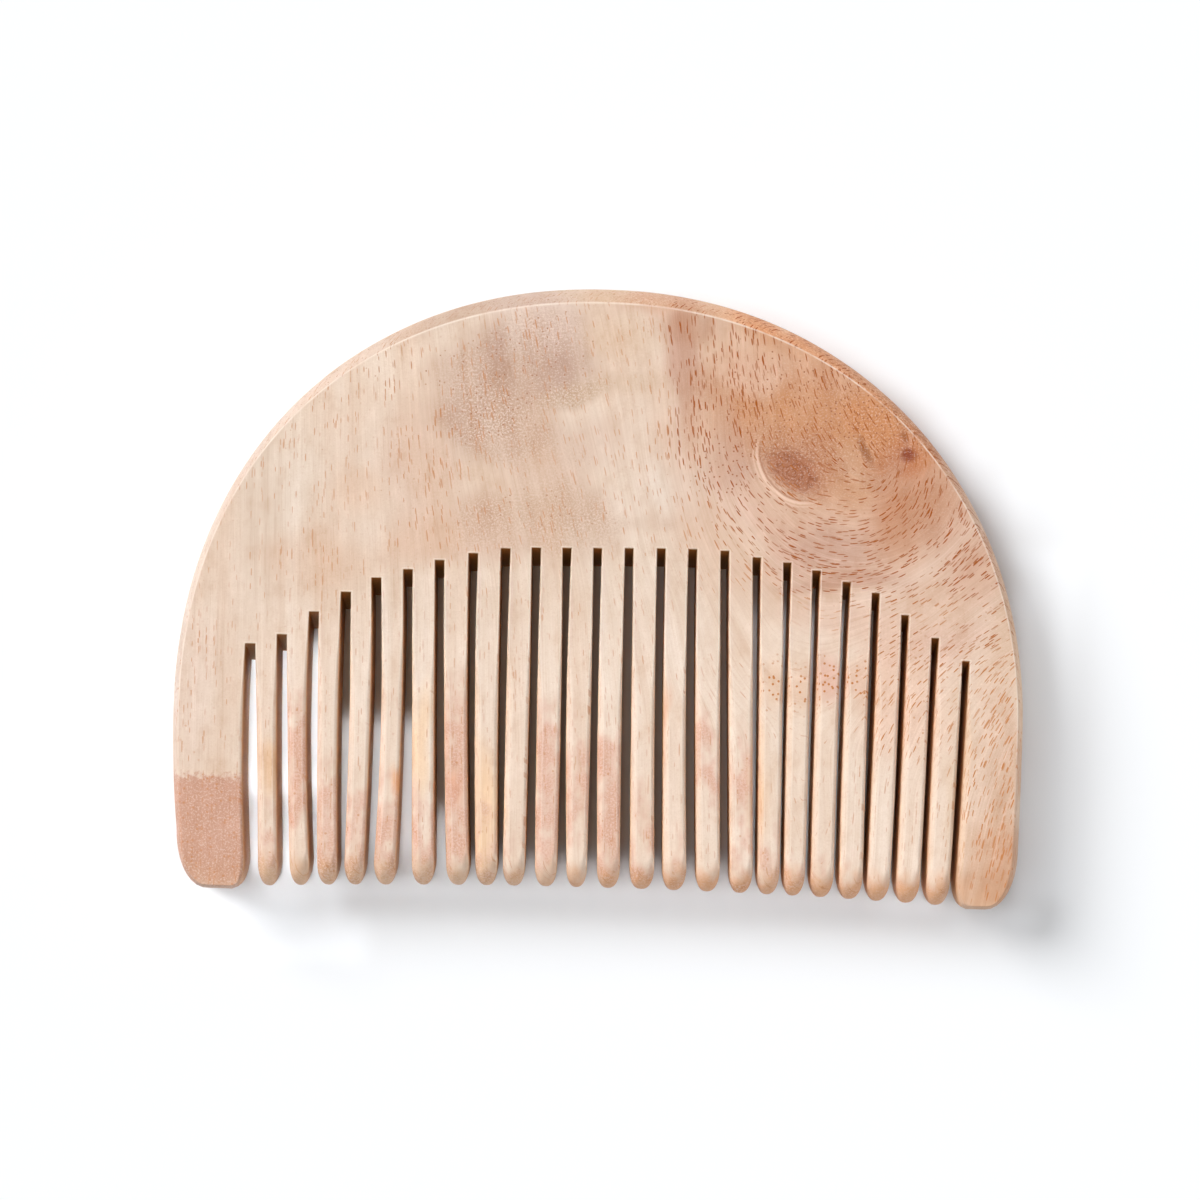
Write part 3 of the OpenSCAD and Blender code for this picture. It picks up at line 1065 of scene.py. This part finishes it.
# Which way the fibres run, at places on the board: [x, y, lean]. A lean of 0 runs straight up to the
# back. The fibres come down the left side, round under the knot and up the right side again, so the
# lean goes on to -90 degrees below the knot and to -180 on the right.
GRAIN = [
    [-56, -3, 0], [-57, -25, 0], [-49, 14, 0], [-43, -5, 0], [-39, 23, 0], [-31, 4, -3], [-37, -23, 0],
    [-23, 26, -5], [-22, 37, -8], [-21, 10, -10], [-12, 37, -12], [-12, 24, -17], [-9, 13, -18],
    [-1, 37, -15], [-1, 24, -16], [0, 10, -12], [-5, -7, -3], [-21, -9, 0], [-20, -27, 0], [1, -26, 0],
    [7, 36, -8], [8, 23, -5], [7, 10, -10], [13, 37, -5], [13, 27, -4], [13, 20, -8], [13, 13, -15],
    [14, 5, -22], [11, -6, -6], [12, -23, 0], [19, 36, -8], [19, 26, -12], [18, 16, -28], [21, 10, -42],
    [21, 4, -45], [21, -3, -28], [27, 35, -12], [26, 28, -18], [34, 25, -26], [37, 21, -30],
    [24, 14, -52], [28, 10, -68], [28, 4, -70], [33, 14, -86], [33, 8, -90], [34, 3, -92], [28, -2, -60],
    [34, -3, -110], [39, 11, -116], [39, 4, -110], [42, 17, -165], [42, 11, -145], [45, 5, -125],
    [46, 21, -200], [42, 25, -205], [48, 14, -170], [50, 7, -140], [50, -1, -128], [54, 1, -125],
    [55, -6, -124], [42, -5, -122], [48, -11, -135], [56, -13, -150], [57, -25, -162], [56, -36, -168],
    [24, -13, -40], [28, -13, -85], [33, -13, -125], [39, -14, -145], [45, -19, -158], [23, -23, 0],
    [21, -35, 0], [36, -24, -178], [43, -31, -180], [50, -32, -175],
]
GRAIN_REACH = 3.0
TINY = 1e-9


def fibre_direction(x, y):
    """The fibres' direction at points: the nearer of the marked places count most."""
    along_x = np.zeros_like(x)
    along_y = np.zeros_like(x)
    for mark_x, mark_y, lean in GRAIN:
        pull = ((x - mark_x) ** 2 + (y - mark_y) ** 2 + GRAIN_REACH ** 2) ** -2
        along_x += pull * math.sin(math.radians(lean))
        along_y += pull * math.cos(math.radians(lean))
    long = np.hypot(along_x, along_y) + TINY
    return along_x / long, along_y / long


lie_x, lie_y = fibre_direction(places[:, 0], places[:, 1])
give(mesh, "lie", "FLOAT_VECTOR", np.stack([lie_x, lie_y, np.zeros(len(places))], 1))

# Two heights over a grid, one that climbs across the fibres and one along them, are the wood's own
# coordinates: patterns drawn on them bend with the grain. A hold is how much more a height is kept
# level than it is made to climb, and LAST_CELL keeps a point inside the grid's last cell.
GRID_MARGIN = 2.0
ACROSS_HOLD = 12.0
ALONG_HOLD = 3.0
SOLVER_ROUNDS = 600
LAST_CELL = 1.001
grid_x = np.arange(low.x / MM - GRID_MARGIN, high.x / MM + GRID_MARGIN + 1, 1.0)
grid_y = np.arange(end_y - GRID_MARGIN, high.y / MM + GRID_MARGIN + 1, 1.0)


def climb(field):
    """The slopes of a height over the grid, in each cell's lower and upper triangle."""
    lower = (field[:-1, 1:] - field[:-1, :-1], field[1:, :-1] - field[:-1, :-1])
    upper = (field[1:, 1:] - field[1:, :-1], field[1:, 1:] - field[:-1, 1:])
    return lower, upper


def gather(lower, upper):
    """Adds the slopes' pulls up at the grid's points."""
    field = np.zeros((len(grid_y), len(grid_x)))
    field[:-1, 1:] += lower[0]
    field[:-1, :-1] -= lower[0] + lower[1]
    field[1:, :-1] += lower[1]
    field[1:, 1:] += upper[0] + upper[1]
    field[1:, :-1] -= upper[0]
    field[:-1, 1:] -= upper[1]
    return field


def unroll(goal_x, goal_y, hold_x, hold_y, hold):
    """A height that climbs along the goal and stays level along the hold, by least squares."""
    def weigh(slope):
        along = hold_x * slope[0] + hold_y * slope[1]
        return slope[0] + (hold - 1) * along * hold_x, slope[1] + (hold - 1) * along * hold_y

    goal = weigh((goal_x, goal_y))
    field = np.zeros((len(grid_y), len(grid_x)))
    rest = gather(goal, goal)
    step = rest.copy()
    error = (rest * rest).sum()
    for _ in range(SOLVER_ROUNDS):
        pushed = gather(*[weigh(slope) for slope in climb(step)])
        share = error / (step * pushed).sum()
        field += share * step
        rest -= share * pushed
        new_error = (rest * rest).sum()
        step = rest + new_error / error * step
        error = new_error
    return field


def sampled(field, spots):
    """The grid's value at points, blended between the four corners around each."""
    column = np.clip(spots[:, 0] - grid_x[0], 0, len(grid_x) - LAST_CELL)
    row = np.clip(spots[:, 1] - grid_y[0], 0, len(grid_y) - LAST_CELL)
    i = column.astype(int)
    j = row.astype(int)
    s = column - i
    t = row - j
    lower = field[j, i] * (1 - s) + field[j, i + 1] * s
    upper = field[j + 1, i] * (1 - s) + field[j + 1, i + 1] * s
    return lower * (1 - t) + upper * t


cell_x, cell_y = np.meshgrid(grid_x[:-1] + 0.5, grid_y[:-1] + 0.5)
along_x, along_y = fibre_direction(cell_x, cell_y)
across_map = unroll(along_y, -along_x, along_x, along_y, ACROSS_HOLD)
along_map = unroll(along_x, along_y, along_y, -along_x, ALONG_HOLD)
grain_at = np.stack([sampled(across_map, places), sampled(along_map, places), places[:, 2]], 1)
give(mesh, "grain", "FLOAT_VECTOR", grain_at)

# Stains, grounds and flushes: [x, y, half width, half height, turn, edge, colour, strength, and how
# much they add to the pores, to the round dots and to the speckle]. A row without strength changes
# only the pores.
STAINS = [
    [-37, 28, 9.8, 6.7, 35, 0.5, (238, 213, 191), 0.6, 0.2, 0, 0],
    [-47.5, 11.5, 3.4, 12.6, 0, 0.5, (228, 209, 190), 0.6, 0.1, 0, 0.1],
    [-42, 16, 3.9, 8.4, 0, 0.6, (237, 219, 201), 0.6, 0.1, 0, 0],
    [-25.5, 17, 4.8, 8.7, 0, 0.6, (223, 189, 167), 0.6, 0.25, 0, 0],
    [-38.5, 3.5, 7.7, 3.1, 0, 0.6, (223, 189, 163), 0.6, 0.1, 0, 0],
    [-57, -15, 3.1, 11.2, 0, 0.6, (236, 212, 195), 0.6, 0.2, 0, 0],
    [-29, 31.5, 5, 4.5, 25, 0.6, (243, 223, 204), 0.85, 0.2, 0, 0],
    [-12, 31.5, 9.5, 6.5, 28, 0.5, (193, 160, 142), 0.95, 0.15, 0.45, 0.45],
    [-8, 37, 5, 3, 0, 0.7, (228, 201, 184), 0.6, 0.1, 0, 0.3],
    [-18, 24.5, 6.4, 3.4, 5, 0.5, (201, 168, 148), 0.8, 0.15, 0.3, 0.5],
    [-4, 28.5, 5.3, 1.8, 14, 0.6, (206, 176, 150), 0.75, 0, 0, 0.5],
    [2, 36, 4.8, 2.5, 0, 0.6, (231, 205, 180), 0.6, 0.1, 0, 0],
    [-7.5, 11.5, 11.5, 3, 4, 0.6, (206, 173, 149), 0.85, 0.1, 0.2, 0.45],
    [-2, 8, 6, 3, 20, 0.7, (208, 177, 154), 0.6, 0, 0, 0.4],
    [-18.5, 6, 5, 2.5, -5, 0.6, (222, 186, 165), 0.5, 0.1, 0, 0.3],
    [6, 17.5, 3.9, 11.8, 0, 0.6, (237, 218, 200), 0.85, 0.1, 0, 0],
    [3.5, 29.5, 4.8, 1.7, 10, 0.7, (219, 193, 168), 0.7, 0.1, 0, 0],
    [5.5, 10, 4.8, 1.3, 0, 0.7, (218, 190, 168), 0.7, 0.1, 0, 0],
    [31.5, 21, 23.1, 21, 0, 0.3, (218, 175, 149), 0.85, 0.4, 0, 0.15],
    [42, 0, 15.4, 8.4, -15, 0.5, (224, 186, 163), 0.6, 0.3, 0, 0],
    [20.5, 35.5, 4.8, 5, 0, 0.6, (226, 186, 158), 0.6, 0.5, 0, 0],
    [11, 30.5, 2.7, 10.9, 3, 0.4, (196, 150, 130), 0.9, 0.6, 0, 0.1],
    [12, 38, 3.9, 2.8, 0, 0.7, (190, 138, 110), 0.75, 0.5, 0, 0],
    [16.5, 27, 5, 5, 0, 0.6, (198, 144, 113), 0.85, 0.7, 0, 0],
    [29.5, 26, 13.2, 6.4, -12, 0.5, (203, 141, 99), 0.95, 0.1, 0.7, 0.15],
    [27, 35.5, 10.4, 2.5, -28, 0.6, (210, 156, 120), 0.85, 0.3, 0.3, 0],
    [39, 24.5, 6.2, 3.4, -25, 0.6, (204, 140, 98), 0.85, 0.1, 0.2, 0.15],
    [34.5, 18, 6.4, 3.9, 0, 0.6, (208, 155, 118), 0.8, 0.3, 0, 0.1],
    [18.5, 13.5, 4.2, 1.7, -50, 0.6, (232, 200, 180), 0.6, 0.2, 0, 0],
    [27.5, 18.5, 5.6, 4.6, -28, 0.6, (190, 132, 102), 0.7, 0, 0, 0.15],
    [17.5, 18.5, 4.2, 3.4, -40, 0.6, (200, 163, 146), 0.8, 0.1, 1.1, 0],
    [23, 11, 5.6, 3.1, -45, 0.6, (222, 184, 163), 0.6, 0.5, 0, 0],
    [31.5, 7, 7.3, 4.2, 0, 0.6, (200, 160, 141), 0.8, 0.8, 0, 0],
    [34, 2, 7.8, 1.3, 4, 0.7, (192, 144, 122), 0.7, 0.5, 0, 0],
    [42.5, 11.5, 5, 5.9, -25, 0.55, (198, 141, 109), 0.9, 1, 0, 0],
    [50.5, 8.5, 4.5, 8, 28, 0.6, (207, 161, 136), 0.75, 0.8, 0, 0.1],
    [35, -2.5, 9, 1.8, 0, 0.6, (228, 192, 170), 0.7, 0.1, 0, 0],
    [54.5, -9, 4.2, 6, 0, 0.6, (236, 211, 191), 0.85, 0.4, 0, 0],
    [47, -6, 7.8, 2.8, 8, 0.7, (219, 178, 157), 0.6, 0.5, 0, 0],
    [44, 21.5, 3.4, 3.1, 0, 0.7, (198, 120, 74), 0.85, 0.1, 0, 0],
    [56, -24, 3.6, 16, 0, 0.4, (232, 202, 180), 0.7, 0.8, 0, 0],
    [58, -34, 2.2, 5.5, 0, 0.6, (200, 148, 114), 0.65, 0.4, 0, 0],
    [57.5, -3, 2.6, 8, 0, 0.6, (212, 177, 150), 0.65, 0.3, 0, 0],
    [57.8, -24, 2.2, 7, 0, 0.6, (210, 172, 146), 0.65, 0.3, 0, 0],
    [-34.6, 12.9, 3.5, 3, 0, 0.6, (227, 194, 168), 0.6, 0.1, 0, 0],
    [-17.7, 10, 4, 3, 0, 0.6, (211, 176, 153), 0.65, 0, 0.1, 0.3],
    [55, -40.5, 4.8, 3, 0, 0.6, (194, 146, 112), 0.75, 0.1, 0, 0],
    [51, -27.5, 1.7, 9.8, 0, 0.6, (236, 208, 180), 0.6, 0.2, 0, 0],
    [-7.5, 17, 5.5, 3, 0, 0.6, (216, 185, 164), 0.7, 0, 0, 0.3],
    [-21.6, 30.1, 4, 3, 0, 0.6, (211, 180, 159), 0.6, 0.1, 0.3, 0.3],
    [32, 31, 3.5, 2, -25, 0.6, (206, 148, 112), 0.7, 0, 0, 0],
    [-11, 40.5, 5, 1.8, 0, 0.6, (240, 218, 205), 0.7, 0, 0, 0],
    [19.4, 7.7, 3, 2.5, 0, 0.6, (231, 204, 181), 0.6, 0.1, 0, 0],
    [-13, 21.3, 6.5, 3.2, 8, 0.6, (196, 162, 141), 0.85, 0, 0.1, 0.5],
    [20.5, 31.2, 4, 2.4, -10, 0.6, (226, 187, 163), 0.7, 0.2, 0, 0],
    [13, 16, 3.8, 5.5, -10, 0.6, (232, 210, 194), 0.8, 0, 0, 0],
    [5, 41, 4, 1.6, 0, 0.6, (222, 180, 155), 0.6, 0, 0, 0.2],
    [22.4, 21.5, 3, 3, 0, 0.6, (190, 126, 86), 0.7, 0, 0, 0.1],
    [39.5, 18.5, 3, 2.5, 0, 0.6, (192, 130, 96), 0.6, 0.2, 0, 0],
    [12.3, 22.5, 2.5, 4.5, 0, 0.6, (222, 184, 160), 0.6, 0, 0, 0],
    [17, 20.5, 2.2, 5.5, 0, 0.6, (200, 152, 126), 0.65, 0.2, 0, 0],
    [8.5, 41.5, 4, 2, 0, 0.6, (216, 170, 144), 0.7, 0, 0, 0],
    [18.5, 31.5, 2.5, 3, 0, 0.6, (226, 184, 158), 0.7, 0, 0, 0],
    [45, 22.5, 3, 3, -40, 0.6, (214, 168, 136), 0.45, 0, 0, 0],
    [-10.9, 7, 4.5, 2.5, 0, 0.6, (212, 178, 155), 0.75, 0, 0, 0.3],
    [16, 11, 3, 3, 0, 0.6, (230, 202, 182), 0.6, 0, 0, 0],
    [-1.2, 20.5, 4, 3, 0, 0.6, (219, 190, 170), 0.6, 0, 0, 0.2],
    [54.5, -36, 3, 5.5, 0, 0.6, (212, 165, 135), 0.7, 0.2, 0, 0],
    [8, 15.5, 2.2, 4.2, 0, 0.7, (241, 226, 211), 0.7, 0, 0, 0],
    [-25, 7, 5, 3.5, 0, 0.6, (223, 186, 160), 0.7, 0.1, 0, 0],
    [46, 14, 3, 4.5, -20, 0.6, (192, 136, 104), 0.7, 0.2, 0, 0],
    [41.4, 20.5, 3, 2.5, 0, 0.6, (186, 118, 82), 0.6, 0, 0, 0],
    [26, -4.5, 13, 4.5, -8, 0.5, (228, 192, 170), 0.0, -0.5, 0, 0],
    [-28.5, -27.5, 1, 2, 0, 0.7, (232, 156, 96), 0.8, 0, 0, 0],
    [-24.5, -22, 1.3, 7.7, 0, 0.7, (242, 203, 162), 0.65, 0.1, 0, 0],
    [-19.5, -27.5, 1.3, 2.5, 0, 0.7, (226, 138, 96), 0.7, 0, 0, 0],
    [-15.5, -31, 1.7, 8.4, 0, 0.6, (240, 196, 150), 0.7, 0, 0, 0.1],
    [-46, -26, 1.3, 2.8, 0, 0.6, (232, 184, 136), 0.6, 0, 0, 0],
    [9.5, -19.5, 0.8, 6.2, 0, 0.7, (222, 160, 124), 0.8, 0, 0, 0.2],
    [24.5, -12, 2.2, 3.1, 0, 0.6, (230, 194, 166), 0.6, -0.3, 1.4, 0],
    [28.5, -13, 2.2, 2.5, 0, 0.6, (228, 190, 162), 0.6, -0.3, 1.3, 0],
    [32.5, -11, 2.2, 3.1, 0, 0.6, (222, 172, 152), 0.8, -0.3, 1.4, 0.2],
    [36.5, -11, 2.2, 2.5, 0, 0.6, (225, 185, 162), 0.7, 0, 1.3, 0],
    [42.5, -14, 6.2, 7.8, 0, 0.6, (229, 190, 165), 0.7, 0.7, 0, 0],
    [23, -27, 1.7, 7, 0, 0.6, (228, 180, 136), 0.6, 0, 0, 0],
]
GROUND = (234, 211, 191)
WANDER = 0.025
WANDER_WAVES = (6.0, 8.0, 11.0, 15.0, 20.0)
STAIN_DEPTH = 2.5


def wander(seed):
    """A slow random shift of the stains' outlines, made of a few crossing waves."""
    draw = np.random.default_rng(seed)
    shift = np.zeros(len(places))
    for wave in WANDER_WAVES:
        way = draw.uniform(0, math.tau)
        phase = draw.uniform(0, math.tau)
        crossing = places[:, 0] * math.cos(way) + places[:, 1] * math.sin(way)
        shift += WANDER * wave * np.sin(math.tau * crossing / wave + phase)
    return shift


stray_x = places[:, 0] + wander(seed=3)
stray_y = places[:, 1] + wander(seed=4)
below = board_t - places[:, 2]
ground = np.tile(np.array(paint(*GROUND)), (len(places), 1))
marks_at = np.zeros((len(places), 3))
for x, y, half_w, half_h, turned, edge, tone, strength, with_pores, with_dots, with_speckle in STAINS:
    cos = math.cos(math.radians(turned))
    sin = math.sin(math.radians(turned))
    from_x = (stray_x - x) * cos + (stray_y - y) * sin
    from_y = (stray_y - y) * cos - (stray_x - x) * sin
    deep = STAIN_DEPTH * (board_t + max(half_w, half_h))
    away = np.sqrt((from_x / half_w) ** 2 + (from_y / half_h) ** 2 + (below / deep) ** 2)
    inside = smooth(1 + edge, 1 - edge, away)
    ground += (np.array(paint(*tone)) - ground) * (inside * strength)[:, None]
    marks_at += inside[:, None] * [with_pores, with_dots, with_speckle]
give(mesh, "ground", "FLOAT_COLOR", ground)
give(mesh, "marks", "FLOAT_VECTOR", marks_at)

# The pink flush on each finger, guards included: [its upper end, its lower end, strength].
BLUSH = [
    [-24, -43, 0.0], [-30, -44, 0.4], [-17, -33, 0.95], [-27, -44, 0.9], [-30, -44, 0.85],
    [-28, -44, 0.85], [-30, -44, 0.8], [-15, -38, 0.95], [-30, -44, 0.5], [-34, -44, 0.3],
    [-18, -37, 0.9], [-19, -34, 0.65], [-20, -39, 1.0], [-28, -42, 0.6], [-33, -44, 0.3],
    [-18, -28, 0.8], [-20, -44, 0.5], [-30, -44, 0.35], [-36, -44, 0.4], [-36, -44, 0.3],
    [-36, -44, 0.3], [-38, -44, 0.2], [-38, -44, 0.2], [-38, -44, 0.2], [-24, -43, 0.0],
]
BLUSH_EDGE = 12.0
finger_at = np.zeros(len(places), int)
for slot in range(len(SLOTS)):
    slot_walls = wall_x(slot, True, places[:, 1]) + wall_x(slot + 1, False, places[:, 1])
    finger_at += places[:, 0] > slot_walls / 2
blush_rows = np.array(BLUSH)[finger_at]
fade_in = smooth(BLUSH_EDGE / 2, -BLUSH_EDGE / 2, places[:, 1] - blush_rows[:, 0])
fade_out = smooth(-BLUSH_EDGE / 2, BLUSH_EDGE / 2, places[:, 1] - blush_rows[:, 1])
give(mesh, "blush", "FLOAT", blush_rows[:, 2] * fade_in * fade_out * (places[:, 1] < BEVEL_STARTS))

comb = bpy.data.objects.new("wooden_comb", mesh)
bpy.context.scene.collection.objects.link(comb)
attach(comb, "root")
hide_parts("comb")

# The floor is a plain white sheet of matt paper. It lies a hair below the comb, because the wobble
# of the lower face dips by nearly as much.
FLOOR = 3.0
SINK = 0.03 * MM
FLOOR_CORNERS = [
    (-FLOOR, -FLOOR, -SINK),
    (FLOOR, -FLOOR, -SINK),
    (FLOOR, FLOOR, -SINK),
    (-FLOOR, FLOOR, -SINK),
]
floor_mesh = bpy.data.meshes.new("floor")
floor_mesh.from_pydata(FLOOR_CORNERS, [], [(0, 1, 2, 3)])
floor = bpy.data.objects.new("floor", floor_mesh)
bpy.context.scene.collection.objects.link(floor)
paper = bpy.data.materials.new("floor_paper")
paper.use_nodes = True
paper_skin = paper.node_tree.nodes["Principled BSDF"]
paper_skin.inputs["Base Color"].default_value = (0.915, 0.93, 0.95, 1)
paper_skin.inputs["Roughness"].default_value = 0.9
paper_skin.inputs["Specular IOR Level"].default_value = 0.0
floor_mesh.materials.append(paper)

# The soft distant lights: [name, direction, breadth in degrees, share, colour, what it lights]. A
# share is what the light adds to white paper, where 1 is full white. The key lights everything, and
# the others only the comb or only the paper, because the photo's paper is whiter than its comb.
comb_only = bpy.data.collections.new("comb_only")
comb_only.objects.link(comb)
paper_only = bpy.data.collections.new("paper_only")
paper_only.objects.link(floor)
WHITE = (1.0, 1.0, 1.0)
SUNS = [
    ["key_upper_left", (11.5, -8.2, -9.2), 30, 0.50, WHITE, None],
    ["overhead", (0, 0, -1), 55, 0.34, WHITE, comb_only],
    ["fill_left", (0.38, -0.1, -0.92), 44, 0.34, (0.985, 1.0, 1.01), paper_only],
    ["reflector_right", (-1, 0.15, -0.3), 60, 0.06, WHITE, comb_only],
]
for name, direction, breadth, share, tint, lit in SUNS:
    toward = Vector(direction).normalized()
    sun_data = bpy.data.lights.new(name, "SUN")
    sun_data.angle = math.radians(breadth)
    sun_data.energy = share * math.pi / -toward.z
    sun_data.color = tint
    sun = bpy.data.objects.new(name, sun_data)
    sun.rotation_euler = toward.to_track_quat("-Z", "Y").to_euler()
    if lit:
        sun.light_linking.receiver_collection = lit
    bpy.context.scene.collection.objects.link(sun)

# Small lamps close over the comb light only the paper. It is white in the left slots, and grey
# between the tips and on the right: [x, y, wide, long, share].
LAMP_HEIGHT = 30 * MM
STRIP_SPREAD = 11
STRIP_TINT = (0.94, 1.0, 1.06)
STRIPS = [
    [-44.5, -18.5, 13, 21, 0.95],
    [-44.5, -34, 13, 13, 0.7],
    [-31.2, -28.5, 13.5, 19, 0.48],
    [-22.2, -35.5, 4, 7, 0.45],
    [2, -41.3, 97, 6, 0.25],
    [-44, -43.5, 17, 8, 0.16],
    [-49, -46, 15, 5, 0.14],
    [-46.5, -39, 6, 8, 0.15],
    [47, -43.5, 12, 4, 0.08],
    [57, -44.5, 12, 3, 0.14],
    [29, -20, 15, 36, 0.27],
    [63.5, -17, 9, 50, 0.1],
    [60.8, -20, 2.6, 44, 0.1],
    [57, 12, 7, 12, 0.06],
    [59, 3, 3, 10, 0.05],
    [51.5, 18.5, 5, 8, 0.1],
    [47.5, 23.5, 5, 5, 0.08],
    [-41, -50.5, 18, 6, 0.13],
]


def paper_lamp(name, x, y, wide, long, share, spread, tint):
    """A flat lamp that shines down on the paper only. Its spread is in degrees."""
    lamp_data = bpy.data.lights.new(name, "AREA")
    lamp_data.shape = "RECTANGLE"
    lamp_data.size = wide * MM
    lamp_data.size_y = long * MM
    lamp_data.spread = math.radians(spread)
    lamp_data.color = tint
    lamp_data.energy = share * math.pi * wide * long * MM ** 2
    lamp = bpy.data.objects.new(name, lamp_data)
    lamp.location = (x * MM, y * MM, LAMP_HEIGHT)
    lamp.visible_camera = False
    lamp.light_linking.receiver_collection = paper_only
    bpy.context.scene.collection.objects.link(lamp)


for x, y, wide, long, share in STRIPS:
    paper_lamp("strip", x, y, wide, long, share, STRIP_SPREAD, STRIP_TINT)

# One wide warm lamp makes the paper in the narrow slots brown.
paper_lamp("warm_glow", x=7, y=-14, wide=90, long=44, share=0.034, spread=9, tint=(1.0, 0.48, 0.12))

# A dim even white all round opens up the shadows.
world = bpy.data.worlds.new("studio")
bpy.context.scene.world = world
world.use_nodes = True
backdrop = world.node_tree.nodes["Background"].inputs
backdrop["Color"].default_value = (1, 1, 1, 1)
backdrop["Strength"].default_value = 0.25
bpy.context.scene.view_settings.view_transform = "Standard"

# The camera looks straight down from half a metre, turned a little with the photo.
CAMERA_HEIGHT = 0.510
CAMERA_Y = -0.95 * MM
CAMERA_TURN = math.radians(1.6)
camera_data = bpy.data.cameras.new("camera")
camera_data.sensor_width = 36
camera_data.lens = 107.1
camera = bpy.data.objects.new("camera", camera_data)
camera.location = (0, CAMERA_Y, CAMERA_HEIGHT)
camera.rotation_euler = (0, 0, CAMERA_TURN)
bpy.context.scene.collection.objects.link(camera)
bpy.context.scene.camera = camera
